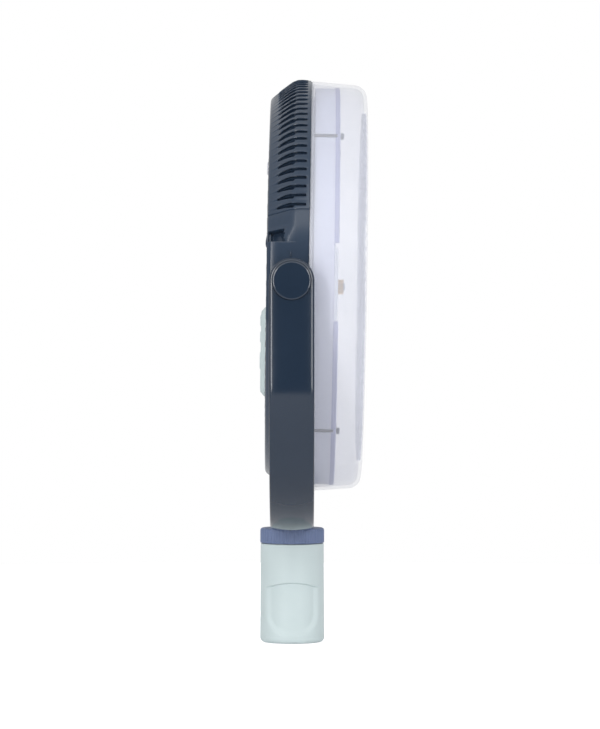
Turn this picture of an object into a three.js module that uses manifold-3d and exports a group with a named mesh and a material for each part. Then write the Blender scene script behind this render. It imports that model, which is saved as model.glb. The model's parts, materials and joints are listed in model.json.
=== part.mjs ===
// Portable yoke fan: a round head that tilts in a U-shaped yoke, on a ribbed lock collar and a battery grip.
// Millimetres, +Z up, +X out of the fan's front, origin at the centre of the grip's bottom face.
import * as THREE from "three";
import { mergeVertices } from "three/addons/utils/BufferGeometryUtils.js";
import Module from "manifold-3d";

const wasm = await Module();
wasm.setup();

// Driving dimensions, in mm and degrees.
const seatGap = 0.3; // between pieces that seat on or in each other
const runGap = 0.4; // round pieces that turn or slide in a hole
const fine = 48; // sides of the large rounds
const coarse = 16; // sides of the small rounds

const grip = {
  topRadius: 21.5,
  bottomRadius: 21.9,
  height: 67.3,
  wall: 2.7,
  topWall: 5.2,
  capHeight: 4.2,
  capEdge: 3.2,
  capSpigot: 2.2,
  recessWidth: 34,
  recessLow: 7,
  recessHigh: 40.5,
  recessDepth: 1.2,
};
const cell = {
  radius: 9,
  height: 50,
  gap: 0.6, // between the two cells
  crimp: 1, // height of the raised contact on top
  contact: 3,
  springHeight: 2.2,
  springRadius: 4,
  springTurns: 2,
  wire: 0.35,
  plate: 0.9,
};
const charger = {
  socketWidth: 9,
  socketHeight: 3.2,
  socketDepth: 7.6,
  socketWall: 0.5,
  inset: 0.2, // behind the grip's surface
  z: 19,
  boardThickness: 1.2,
  boardWidth: 14,
  boardHeight: 38,
};
const collar = { radius: 21.7, height: 10.3, edge: 1.2, boreGap: 0.9, ribs: 53, ribDepth: 0.45 };
const post = {
  radius: 8,
  bore: 4,
  flangeWidth: 4,
  flange: 2,
  washerWidth: 3.5,
  washer: 1,
  nutWall: 1.2,
  nut: 2.8,
};
const yoke = {
  width: 29,
  thickness: 11,
  crown: 1.9,
  cornerRadius: 104, // of the outer face
  wall: 2.2,
  channelDepth: 7, // from the inner face
  linerThickness: 1.8,
  sideClearance: 2.5, // beside the head
  bottomClearance: 13.5, // below the head
};
const pivot = {
  bolt: 4,
  boltHead: 8,
  boltHeadHeight: 2.3,
  boltReach: 8, // inside the head's wall
  bossWall: 2.2,
  cap: 12.4,
  capRecess: 0.4, // of its seat below the arm's face
  capProud: 0.9,
  washer: 2,
  nut: 7.5,
  nutHeight: 6,
};
const cable = { radius: 1.6, depth: 4.4, start: 16 };
const head = {
  radius: 140,
  tilt: 0.9, // nose down at rest
  rear: -16.4, // the rear face, ahead of the tilt axis
  chamferFront: 0,
  chamferDepth: 13,
  seam: 11.7, // where the front guard starts
  front: 48.6,
  wall: 2.4,
  rearEdge: 3.5,
  rearBand: 28, // from the outside to the rear opening
  cheek: 3.5, // how far the flat cheeks lie inside the round
  cheekEdge: 4,
  bossRadius: 14,
  screwPost: 3.2, // wall of the screw posts
};
const slot = { count: 53, pitch: 2.66, rear: -10.5, front: 8.5, width: 1.8, gill: 3.4 };
const scoop = { length: 9.4, height: 9.6, depth: 5.5, inset: 3, wall: 2 };
const guard = {
  wall: 2.2,
  step: 0.2, // how far it stands inside the housing's face at the seam
  draft: 4.9,
  corner: 8,
  band: 22, // from the outside to the grille
  hub: 30,
  depth: 3,
  bars: 16,
  barWidth: 2.2,
  lip: 1.6,
  lipDepth: 3,
};
const duct = {
  inset: 4.8,
  band: 8.8,
  wall: 2.2,
  lip: 30.3,
  lipWall: 2,
  notch: 25.3,
  notchDepth: 3.2,
  rear: 7.6,
  rearWall: 1.8,
};
const screw = { rod: 1.25, head: 2.6, headHeight: 2.2, end: -6, height: 96.6 };
const rearGrille = {
  band: 12,
  hub: 40,
  bars: 16,
  barWidth: 2.6,
  flange: 3.2,
  flangeHeight: 2,
  panelWidth: 50,
  panelInset: 10,
};
const pod = { height: 61, width: 42, proud: 4.3, wall: 1.8, inset: 24.5, slope: 3 };
const keys = {
  power: { up: -6.1, radius: 6 }, // up from the pod's middle
  slower: { up: 10, radius: 4 },
  faster: { up: 21.2, radius: 4 },
};
const key = {
  proud: 0.7,
  travel: 0.8,
  flange: 1,
  flangeHeight: 0.6,
  plunger: 1.5,
  switchHeight: 1,
  switchWidth: 6,
};
const board = { thickness: 1.6, width: 40, height: 54, standoff: 2.3, postRadius: 2, postInset: [4, 3] };
const timer = {
  radius: 4.5,
  proud: 1.9,
  inset: 20,
  pad: 9,
  flangeHeight: 1,
  switchWidth: 14,
  switchDepth: 3,
};
const motor = {
  base: 16.5,
  baseThickness: 1.5,
  tube: 6,
  tubeBore: 4.4,
  tubeEnd: 8,
  shaft: 2.5,
  shaftRear: -12.5,
  shaftReach: 5, // ahead of the hub
  bearing: 4,
  bearingInset: 0.5,
  poles: 9,
  poleShoe: 3,
  poleNeck: 6,
  core: 10,
  stackRear: -8,
  stackFront: 4,
  magnetGap: 1.2, // between the stator and the magnets
  magnet: 1.5,
  bell: 23.5,
  bellWall: 1.5,
  bellRear: -9,
};
const fan = {
  tipGap: 2.9,
  bellGap: 3.1, // between the motor's bell and the hub's wall
  wall: 2.4,
  hubRear: -7,
  hubFront: 31,
  sleeveWall: 5,
  nutHeight: 4,
  blades: 7,
  middle: 17, // the blades' place along the axis
  chord: 52,
  pitch: 34,
  twist: 12,
  camber: 4,
  sweep: 10,
  thickness: 2,
};

// Levels that follow from them.
const collarBottom = grip.height + seatGap;
const strapBottom = collarBottom + collar.height + seatGap;
const pivotHeight = strapBottom + yoke.thickness + yoke.bottomClearance + head.radius;
const armInner = head.radius + yoke.sideClearance;
const cheekFace = head.radius - head.cheek;
const rearInside = head.rear + head.wall;
const rearOpening = head.radius - head.rearBand;
const grilleRim = rearOpening - rearGrille.band;
const podCentre = pod.inset + pod.height / 2 - grilleRim;
const timerHeight = grilleRim - timer.inset;
const ductOuter = head.radius - duct.inset;
const ductTip = ductOuter - duct.band;
const screwCircle = (ductOuter + ductTip) / 2;
const frontOpening = head.radius - guard.band;
const fanRadius = ductTip - fan.tipGap;
const fanHub = motor.bell + fan.bellGap + fan.wall;
const flangeRadius = post.radius + post.flangeWidth;
const beyond = 400; // past beyond, for cutting tools
const slotStart = 90 - ((slot.count - 1) / 2) * slot.pitch;

// Finishes: colour, roughness and metalness.
const finish = (color, roughness, metalness = 0) =>
  new THREE.MeshStandardMaterial({ color, roughness, metalness });
const slate = finish("#3c4a58", 0.42);
const sage = finish("#c3cfce", 0.5);
const collarBlue = finish("#6f7d9a", 0.5);
const frosted = finish("#e9ebf4", 0.35);
const lavender = finish("#d4d6e6", 0.5);
const steel = finish("#b9bdc2", 0.35, 1);
const darkSteel = finish("#74797f", 0.5, 1);
const brass = finish("#c7a45c", 0.35, 1);
const copper = finish("#b5703a", 0.45, 1);
const boardGreen = finish("#2f6b47", 0.6);
const cellWrap = finish("#5b7f9c", 0.45);
const rubber = finish("#23262a", 0.8);
const keyGrey = finish("#cfd1d8", 0.5);

const object = new THREE.Group();
const headGroup = new THREE.Group();
headGroup.position.z = pivotHeight;
headGroup.rotation.y = THREE.MathUtils.degToRad(head.tilt);
object.add(headGroup);

// A closed geometry as a solid with its faces out.
function solid(geometry) {
  const bare = new THREE.BufferGeometry().setAttribute("position", geometry.getAttribute("position"));
  if (geometry.index) bare.setIndex(geometry.index);
  const merged = mergeVertices(bare, 1e-4);
  const corners = Array.from(merged.index.array);
  const faces = [];
  for (let i = 0; i < corners.length; i += 3) {
    const [a, b, c] = corners.slice(i, i + 3);
    if (a !== b && b !== c && c !== a) faces.push(a, b, c);
  }
  const build = (list) =>
    new wasm.Manifold(
      new wasm.Mesh({
        numProp: 3,
        vertProperties: merged.attributes.position.array,
        triVerts: new Uint32Array(list),
      }),
    );
  const made = build(faces);
  return made.volume() < 0 ? build(faces.reverse()) : made;
}

// A finished solid as a named mesh in a group.
function piece(name, shape, material, parent = object) {
  const mesh = shape.getMesh();
  const geometry = new THREE.BufferGeometry();
  geometry.setAttribute("position", new THREE.BufferAttribute(mesh.vertProperties, 3));
  geometry.setIndex(new THREE.BufferAttribute(mesh.triVerts, 1));
  geometry.computeVertexNormals();
  const made = new THREE.Mesh(geometry, material);
  made.name = name;
  parent.add(made);
}

const join = (...shapes) => shapes.reduce((sum, shape) => sum.add(shape));
const cut = (shape, ...tools) => tools.reduce((rest, tool) => rest.subtract(tool), shape);

// An outline with round corners, from [a, b, radius] corners.
function softened(corners, steps = 2) {
  const points = [];
  corners.forEach(([a, b, radius = 0], i) => {
    const here = new THREE.Vector2(a, b);
    if (!radius) {
      points.push(here);
      return;
    }
    const before = corners[(i + corners.length - 1) % corners.length];
    const after = corners[(i + 1) % corners.length];
    const toBefore = new THREE.Vector2(before[0], before[1]).sub(here).normalize();
    const toAfter = new THREE.Vector2(after[0], after[1]).sub(here).normalize();
    const half = Math.acos(THREE.MathUtils.clamp(toBefore.dot(toAfter), -1, 1)) / 2;
    const reach = radius / Math.tan(half);
    const centre = here.clone().add(toBefore.clone().add(toAfter).setLength(radius / Math.sin(half)));
    const start = here.clone().addScaledVector(toBefore, reach).sub(centre);
    const end = here.clone().addScaledVector(toAfter, reach).sub(centre);
    let sweep = end.angle() - start.angle();
    sweep -= 2 * Math.PI * Math.round(sweep / (2 * Math.PI));
    for (let k = 0; k <= steps; k++) {
      points.push(start.clone().rotateAround(new THREE.Vector2(), (sweep * k) / steps).add(centre));
    }
  });
  return points;
}

const turnTo = {
  z: (geometry) => geometry.rotateX(Math.PI / 2),
  x: (geometry) => geometry.rotateZ(-Math.PI / 2),
  y: (geometry) => geometry,
};

// A solid of revolution from a closed outline of [radius, height, corner radius].
function turned(outline, axis = "z", sides = coarse, steps = 1) {
  const points = softened(outline, steps);
  points.push(points[0].clone());
  return solid(turnTo[axis](new THREE.LatheGeometry(points, sides)));
}

// A disc or ring between two levels on an axis.
function ring(inner, outer, low, high, axis = "z", sides = coarse) {
  return turned([[inner, low], [outer, low], [outer, high], [inner, high]], axis, sides);
}

function box(low, high) {
  const size = high.map((value, i) => value - low[i]);
  const geometry = new THREE.BoxGeometry(...size);
  geometry.translate(...low.map((value, i) => value + size[i] / 2));
  return solid(geometry);
}

// An outline in X and Z, with thickness along Y.
function upright(points, yLow, yHigh) {
  const geometry = new THREE.ExtrudeGeometry(new THREE.Shape(points), {
    depth: yHigh - yLow,
    bevelEnabled: false,
  });
  geometry.rotateX(Math.PI / 2);
  geometry.translate(0, yHigh, 0);
  return solid(geometry);
}

// An outline in Y and Z, with thickness along X.
function facing(shape, xLow, xHigh) {
  const geometry = new THREE.ExtrudeGeometry(shape, {
    depth: xHigh - xLow,
    bevelEnabled: false,
    curveSegments: fine / 2,
  });
  geometry.rotateX(Math.PI / 2);
  geometry.rotateZ(Math.PI / 2);
  geometry.translate(xLow, 0, 0);
  return solid(geometry);
}

// The grip: shell, base cap, two cells with their contacts, and the charging socket.
function addGrip() {
  const radiusAt = (z) => THREE.MathUtils.lerp(grip.bottomRadius, grip.topRadius, z / grip.height);
  const inner = grip.topRadius - grip.wall;
  const shellBottom = grip.capHeight + seatGap;
  const ceiling = grip.height - grip.topWall;
  const tube = turned(
    [
      [inner, shellBottom],
      [radiusAt(shellBottom), shellBottom],
      [grip.topRadius, grip.height, 0.6],
      [post.radius + seatGap, grip.height],
      [post.radius + seatGap, ceiling],
      [inner, ceiling],
    ],
    "z",
    fine / 2,
  );
  const half = grip.recessWidth / 2;
  const middle = (grip.recessLow + grip.recessHigh) / 2;
  const outline = softened(
    [
      [-half, grip.recessLow, 12],
      [half, grip.recessLow, 12],
      [half + 1, middle],
      [half, grip.recessHigh, 9],
      [-half, grip.recessHigh, 9],
      [-half - 1, middle],
    ],
    5,
  );
  const reach = grip.bottomRadius + 3;
  const recess = ring(grip.topRadius - grip.recessDepth, reach, 0, grip.height, "z", fine / 2).intersect(
    upright(outline, -reach, reach),
  );
  const slotHalf = [charger.socketWidth / 2 + seatGap, charger.socketHeight / 2 + seatGap];
  const socketHole = box(
    [-reach, -slotHalf[0], charger.z - slotHalf[1]],
    [0, slotHalf[0], charger.z + slotHalf[1]],
  );
  piece("grip_shell", cut(tube, recess, socketHole), sage);

  const spigotTop = shellBottom + grip.capSpigot;
  piece(
    "grip_base_cap",
    turned(
      [
        [0, 0],
        [radiusAt(0), 0, grip.capEdge],
        [radiusAt(grip.capHeight), grip.capHeight],
        [inner - seatGap, grip.capHeight],
        [inner - seatGap, spigotTop],
        [inner - seatGap - 2, spigotTop],
        [inner - seatGap - 2, grip.capHeight],
        [0, grip.capHeight],
      ],
      "z",
      fine / 2,
      4,
    ),
    sage,
  );

  const plateRadius = inner - seatGap - 2 - seatGap;
  const lowerPlate = grip.capHeight + seatGap;
  const springBottom = lowerPlate + cell.plate + seatGap;
  const cellBottom = springBottom + cell.springHeight + seatGap;
  const upperPlate = cellBottom + cell.height + seatGap;
  piece("contact_plate_lower", ring(0, plateRadius, lowerPlate, lowerPlate + cell.plate), boardGreen);
  const upperDisc = ring(cell.contact, plateRadius, upperPlate, upperPlate + cell.plate);
  piece("contact_plate_upper", upperDisc, boardGreen);
  for (const [side, sign] of [["left", 1], ["right", -1]]) {
    const y = sign * (cell.radius + cell.gap / 2);
    const at = (shape) => shape.translate([0, y, 0]);
    const top = cellBottom + cell.height;
    piece(
      `battery_cell_${side}`,
      at(
        turned([
          [0, cellBottom],
          [cell.radius, cellBottom, 0.6],
          [cell.radius, top - cell.crimp, 0.6],
          [cell.contact, top - cell.crimp],
          [cell.contact, top],
          [0, top],
        ]),
      ),
      cellWrap,
    );
    const coil = new THREE.CatmullRomCurve3(
      Array.from({ length: 25 }, (_, i) => {
        const part = i / 24;
        const angle = part * cell.springTurns * 2 * Math.PI;
        const margin = cell.wire + 0.05;
        const z = springBottom + margin + part * (cell.springHeight - 2 * margin);
        return new THREE.Vector3(cell.springRadius * Math.cos(angle), cell.springRadius * Math.sin(angle), z);
      }),
    );
    const round = new THREE.Path().absarc(0, 0, cell.wire, 0, 2 * Math.PI);
    const wire = new THREE.Shape(round.getSpacedPoints(5).slice(0, 5));
    piece(
      `contact_spring_${side}`,
      at(solid(new THREE.ExtrudeGeometry(wire, { steps: 20, extrudePath: coil }))),
      steel,
    );
  }

  const socketBack = charger.inset + charger.socketDepth - radiusAt(charger.z);
  const socketSize = [charger.socketWidth / 2, charger.socketHeight / 2];
  const socketFront = socketBack - charger.socketDepth;
  piece(
    "charge_socket",
    cut(
      box(
        [socketFront, -socketSize[0], charger.z - socketSize[1]],
        [socketBack, socketSize[0], charger.z + socketSize[1]],
      ),
      box(
        [socketFront - 1, charger.socketWall - socketSize[0], charger.z - socketSize[1] + charger.socketWall],
        [socketBack - 2, socketSize[0] - charger.socketWall, charger.z + socketSize[1] - charger.socketWall],
      ),
    ),
    steel,
  );
  const boardX = socketBack + seatGap;
  const boardHalf = charger.boardWidth / 2;
  const boardBottom = charger.z - boardHalf;
  piece(
    "charge_board",
    box(
      [boardX, -boardHalf, boardBottom],
      [boardX + charger.boardThickness, boardHalf, boardBottom + charger.boardHeight],
    ),
    boardGreen,
  );
}

// The collar that locks the swivel, with fine upright ribs and a bevel at both ends.
function addCollar() {
  const ribs = new THREE.Shape();
  for (let i = 0; i < collar.ribs * 2; i++) {
    const angle = (i * Math.PI) / collar.ribs;
    const radius = collar.radius - collar.edge - (i % 2 ? collar.ribDepth : 0);
    ribs[i ? "lineTo" : "moveTo"](radius * Math.cos(angle), radius * Math.sin(angle));
  }
  const body = new THREE.ExtrudeGeometry(ribs, {
    depth: collar.height - 2 * collar.edge,
    bevelThickness: collar.edge,
    bevelSize: collar.edge,
    bevelSegments: 1,
  });
  body.translate(0, 0, collarBottom + collar.edge);
  const bore = ring(0, flangeRadius + collar.boreGap, collarBottom - 1, collarBottom + collar.height + 1);
  piece("lock_collar", cut(solid(body), bore), collarBlue);
}

// The fixed post that the yoke swivels on, with its washer and nut inside the yoke.
function addSwivel() {
  const seat = collarBottom;
  const ceiling = grip.height - grip.topWall;
  const hubTop = strapBottom + yoke.thickness - yoke.channelDepth;
  const washerLow = hubTop + seatGap;
  const nutLow = washerLow + post.washer + seatGap;
  const top = nutLow + post.nut;
  piece(
    "swivel_post",
    turned([
      [post.bore, ceiling],
      [post.radius, ceiling],
      [post.radius, seat],
      [flangeRadius, seat],
      [flangeRadius, seat + post.flange],
      [post.radius, seat + post.flange],
      [post.radius, top],
      [post.bore, top],
    ]),
    darkSteel,
  );
  const bore = post.radius + seatGap;
  const washer = ring(bore, post.radius + post.washerWidth, washerLow, washerLow + post.washer);
  piece("swivel_washer", washer, brass);
  const nutRadius = (bore + post.nutWall) / Math.cos(Math.PI / 6); // to its corners
  const nut = cut(ring(0, nutRadius, nutLow, top, "z", 6), ring(0, bore, nutLow - 1, top + 1));
  piece("swivel_nut", nut, steel);
}

// Places along the yoke's inner face with the way out of it, from the right pivot round to the left one.
function yokePlaces(steps = 8) {
  const radius = yoke.cornerRadius - yoke.thickness;
  const centreY = armInner - radius;
  const centreZ = strapBottom + yoke.cornerRadius;
  const places = [{ y: -armInner, z: pivotHeight, out: Math.PI }];
  for (const [side, from] of [[-1, Math.PI], [1, 1.5 * Math.PI]]) {
    for (let i = 0; i <= steps; i++) {
      const out = from + (i / steps) * (Math.PI / 2);
      places.push({ y: side * centreY + radius * Math.cos(out), z: centreZ + radius * Math.sin(out), out });
    }
  }
  places.push({ y: armInner, z: pivotHeight, out: 2 * Math.PI });
  return places;
}

// A section of [across, outward] points carried along the yoke.
function along(outline, places) {
  const clockwise = THREE.ShapeUtils.isClockWise(outline.map(([x, n]) => new THREE.Vector2(x, n)));
  const section = clockwise ? [...outline].reverse() : outline;
  const count = section.length;
  const positions = places.flatMap(({ y, z, out }) =>
    section.flatMap(([x, n]) => [x, y + n * Math.cos(out), z + n * Math.sin(out)]),
  );
  const faces = [];
  for (let i = 0; i + 1 < places.length; i++) {
    for (let j = 0; j < count; j++) {
      const a = i * count + j;
      const b = i * count + ((j + 1) % count);
      faces.push(a, b, b + count, a, b + count, a + count);
    }
  }
  const last = (places.length - 1) * count;
  const flat = section.map(([x, n]) => new THREE.Vector2(x, n));
  for (const [a, b, c] of THREE.ShapeUtils.triangulateShape(flat, [])) {
    faces.push(a, c, b, last + a, last + b, last + c);
  }
  const geometry = new THREE.BufferGeometry();
  geometry.setAttribute("position", new THREE.Float32BufferAttribute(positions, 3));
  geometry.setIndex(faces);
  return solid(geometry);
}

// A round solid on one side's tilt axis, from [radius, distance out of the arm's inner face] points.
function atPivot(outline, sign, sides = coarse) {
  const placed = outline.map(([radius, n, corner = 0]) => [radius, sign * (armInner + n), corner]);
  return turned(placed, "y", sides).translate([0, 0, pivotHeight]);
}

function addYoke() {
  const half = yoke.width / 2;
  const crownAt = (x) => yoke.thickness - yoke.crown * (x / half) ** 2;
  const steps = [-1, -0.75, -0.5, -0.25, 0, 0.25, 0.5, 0.75, 1].map((part) => part * half);
  const crowned = [[-half, 0], ...steps.map((x) => [x, crownAt(x)]), [half, 0]];
  const domed = [[0, 0], [half, 0], ...steps.slice(4).reverse().map((x) => [x, crownAt(x)])];
  const places = yokePlaces();
  const inside = half - yoke.wall;
  const channel = [[-inside, -1], [-inside, yoke.channelDepth], [inside, yoke.channelDepth], [inside, -1]];
  const hub = ring(0, flangeRadius, strapBottom, strapBottom + yoke.thickness - yoke.channelDepth);
  const ends = [1, -1];
  const outer = join(along(crowned, places), hub, ...ends.map((sign) => atPivot(domed, sign)));
  const roundHollow = [[0, -1], [inside, -1], [inside, yoke.channelDepth], [0, yoke.channelDepth]];
  const hollow = join(along(channel, places), ...ends.map((sign) => atPivot(roundHollow, sign)));
  const capSeat = crownAt(pivot.cap) - pivot.capRecess;
  const headSeat = capSeat - pivot.boltHeadHeight - seatGap;
  const boss = pivot.boltHead + runGap + pivot.bossWall;
  const bosses = ends.map((sign) => atPivot([[0, 0], [boss, 0], [boss, capSeat], [0, capSeat]], sign));
  const boreFrom = (radius, low, sign) =>
    atPivot([[0, low], [radius, low], [radius, beyond], [0, beyond]], sign);
  const bores = ends.flatMap((sign) => [
    boreFrom(pivot.bolt + runGap, -2, sign),
    boreFrom(pivot.boltHead + runGap, headSeat, sign),
    boreFrom(pivot.cap + seatGap, capSeat, sign),
  ]);
  const hubBore = ring(0, post.radius + runGap, strapBottom - 5, strapBottom + yoke.thickness);
  piece("yoke_shell", cut(join(cut(outer, hollow), ...bosses), ...bores, hubBore), slate);

  const linerHalf = inside - seatGap;
  const linerOutline = (from) => [
    [from, 0],
    [linerHalf, 0],
    [linerHalf, yoke.linerThickness],
    [from, yoke.linerThickness],
  ];
  const liner = join(
    along(linerOutline(-linerHalf), places),
    ...ends.map((sign) => atPivot(linerOutline(0), sign)),
  );
  const linerHoles = ends.map((sign) =>
    atPivot([[0, -2], [boss + seatGap, -2], [boss + seatGap, 5], [0, 5]], sign),
  );
  piece("yoke_liner", cut(liner, ...linerHoles), slate);

  for (const [side, sign] of [["left", 1], ["right", -1]]) {
    const capLow = capSeat + seatGap;
    const capTop = yoke.thickness + pivot.capProud;
    piece(
      `pivot_cap_${side}`,
      atPivot([[0, capLow], [pivot.cap, capLow], [pivot.cap, capTop, 0.7], [0, capTop]], sign),
      slate,
    );
    piece(
      `friction_washer_${side}`,
      atPivot(
        [
          [pivot.bolt + runGap, -seatGap - pivot.washer],
          [head.bossRadius - 2, -seatGap - pivot.washer],
          [head.bossRadius - 2, -seatGap],
          [pivot.bolt + runGap, -seatGap],
        ],
        sign,
      ),
      rubber,
    );
    const boltTop = headSeat + seatGap + pivot.boltHeadHeight - 0.2;
    const boltEnd = cheekFace - head.wall - pivot.boltReach - armInner;
    piece(
      `pivot_bolt_${side}`,
      atPivot(
        [
          [0, boltEnd],
          [pivot.bolt, boltEnd],
          [pivot.bolt, headSeat + seatGap],
          [pivot.boltHead, headSeat + seatGap],
          [pivot.boltHead, boltTop],
          [0, boltTop],
        ],
        sign,
      ),
      steel,
    );
    const nutHigh = cheekFace - head.wall - seatGap - armInner;
    const nutLow = nutHigh - pivot.nutHeight;
    const nut = [[0, nutLow], [pivot.nut, nutLow], [pivot.nut, nutHigh], [0, nutHigh]];
    const nutHole = pivot.bolt + seatGap;
    const nutBore = [[0, nutLow - 1], [nutHole, nutLow - 1], [nutHole, nutHigh + 1], [0, nutHigh + 1]];
    piece(`pivot_nut_${side}`, cut(atPivot(nut, sign, 6), atPivot(nutBore, sign)), steel);
  }

  const wireSection = Array.from({ length: 8 }, (_, i) => {
    const angle = (-i * Math.PI) / 4;
    return [cable.radius * Math.cos(angle), cable.depth + cable.radius * Math.sin(angle)];
  });
  const corner = places.filter(({ y, z }) => y > 0 && z < pivotHeight - 1);
  const wireTop = { y: armInner, z: pivotHeight - boss - 3, out: 2 * Math.PI };
  const wireStart = { ...corner[0], y: cable.start };
  piece("arm_cable", along(wireSection, [wireStart, ...corner, wireTop]), rubber);
}

// A flat grille on the fan's axis: a disc with rings of openings between straight bars.
function grille({ radius, rings, bars, barWidth }, xLow, xHigh) {
  const shape = new THREE.Shape().absarc(0, 0, radius, 0, 2 * Math.PI);
  const step = (2 * Math.PI) / bars;
  for (const [inner, outer] of rings) {
    for (let i = 0; i < bars; i++) {
      const corner = (r, from, side) => {
        const angle = (i + from) * step + (side * barWidth) / 2 / r;
        return new THREE.Vector2(r * Math.cos(angle), r * Math.sin(angle));
      };
      const opening = [corner(inner, 0, 1), corner(outer, 0, 1), corner(outer, 1, -1), corner(inner, 1, -1)];
      shape.holes.push(new THREE.Path(opening));
    }
  }
  return facing(shape, xLow, xHigh);
}

// One cutter for each louvre: a slot in the round wall that widens into a gill on the chamfer.
function louvres() {
  const half = slot.width / 2;
  const middle = (slot.rear + head.chamferFront) / 2;
  const outline = [
    [slot.rear, half],
    [slot.front, half],
    [slot.front, -half],
    [head.chamferFront, -half],
    [middle, half - slot.gill],
  ];
  return Array.from({ length: slot.count }, (_, i) => {
    const shape = new THREE.Shape(outline.map(([x, t]) => new THREE.Vector2(x, t)));
    const geometry = new THREE.ExtrudeGeometry(shape, { depth: 24, bevelEnabled: false });
    geometry.translate(0, 0, head.radius - 20);
    const fromFlat = 90 - (slotStart + i * slot.pitch);
    geometry.scale(1, i < slot.count / 2 ? 1 : -1, 1);
    geometry.rotateX(THREE.MathUtils.degToRad(fromFlat));
    return solid(geometry);
  });
}

function addHousing() {
  const rim = head.radius - head.chamferDepth;
  const outer = turned(
    [
      [0, head.rear],
      [rim, head.rear, head.rearEdge],
      [head.radius, head.chamferFront],
      [head.radius, head.seam],
      [0, head.seam],
    ],
    "x",
    fine,
    1,
  );
  const insideRadius = head.radius - head.wall;
  const inner = turned(
    [
      [0, rearInside],
      [rim - 1, rearInside],
      [insideRadius, head.chamferFront + 0.6],
      [insideRadius, head.seam + 1],
      [0, head.seam + 1],
    ],
    "x",
    fine,
  );
  const cheekHeight = Math.sqrt(head.radius ** 2 - cheekFace ** 2);
  const cheek = (face, rear, edge, height) => {
    const points = softened([
      [rear, -face, edge],
      [rear, face, edge],
      [head.seam + 1, face],
      [head.seam + 1, -face],
    ]);
    const geometry = new THREE.ExtrudeGeometry(new THREE.Shape(points), {
      depth: 2 * height,
      bevelEnabled: false,
    });
    geometry.translate(0, 0, -height);
    return solid(geometry);
  };
  const slab = (face) => box([-beyond, -face, -beyond], [beyond, face, beyond]);
  const stub = box([head.rear, -beyond, -beyond], [head.seam, beyond, beyond]);
  const rearCore = ring(0, grilleRim, head.rear - 5, head.seam + 5, "x");
  const block = cut(cheek(cheekFace, head.rear, head.cheekEdge, cheekHeight), rearCore).intersect(stub);
  const cheekBore = cheek(cheekFace - head.wall, rearInside, head.cheekEdge - 1, cheekHeight - head.wall);
  const bore = cut(cheekBore, rearCore);
  const shell = cut(
    join(outer, block).intersect(slab(cheekFace)),
    inner.intersect(slab(cheekFace - head.wall)),
    bore,
    ring(0, rearOpening, head.rear - 1, head.seam, "x", fine),
  );
  const bossHigh = armInner - seatGap - pivot.washer - seatGap;
  const bosses = [1, -1].map((sign) =>
    turned(
      [
        [0, sign * (cheekFace - head.wall)],
        [head.bossRadius, sign * (cheekFace - head.wall)],
        [head.bossRadius, sign * bossHigh],
        [0, sign * bossHigh],
      ],
      "y",
    ).intersect(box([-beyond, -beyond, -beyond], [head.seam, beyond, beyond])),
  );
  const boltHoles = ring(0, pivot.bolt + seatGap, -beyond, beyond, "y");
  const screwPost = ring(screw.rod, screw.rod + head.screwPost, rearInside - 1, duct.rear - seatGap, "x", 12);
  const posts = screwPlaces().map(([y, z]) => screwPost.translate([0, y, z]));
  const postShell = posts.map((shape) => shape.intersect(outer));
  const scoopRear = head.rear + scoop.inset;
  const scoopFloor = rim - scoop.wall;
  const sideBox = (sign, near, far, [x0, x1], [z0, z1]) =>
    box([x0, Math.min(sign * near, sign * far), z0], [x1, Math.max(sign * near, sign * far), z1]);
  const scoopTop = cheekHeight + scoop.height;
  const scoops = [1, -1].map((sign) =>
    sideBox(sign, scoopFloor, beyond, [scoopRear, scoopRear + scoop.length], [cheekHeight, scoopTop]),
  );
  const scoopWalls = [1, -1].map((sign) =>
    sideBox(
      sign,
      scoopFloor - scoop.depth,
      scoopFloor,
      [scoopRear - scoop.wall, scoopRear + scoop.length + scoop.wall],
      [cheekHeight - scoop.wall, scoopTop + scoop.wall],
    ).intersect(outer),
  );
  const housing = cut(join(cut(shell, ...louvres()), ...scoopWalls), ...scoops);
  piece("rear_housing", cut(join(housing, ...bosses, ...postShell), boltHoles), slate, headGroup);
}

// The four long screws stand above and below the tilt axis on both sides.
function screwPlaces() {
  const y = Math.sqrt(screwCircle ** 2 - screw.height ** 2);
  return [[y, screw.height], [-y, screw.height], [-y, -screw.height], [y, -screw.height]];
}

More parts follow.
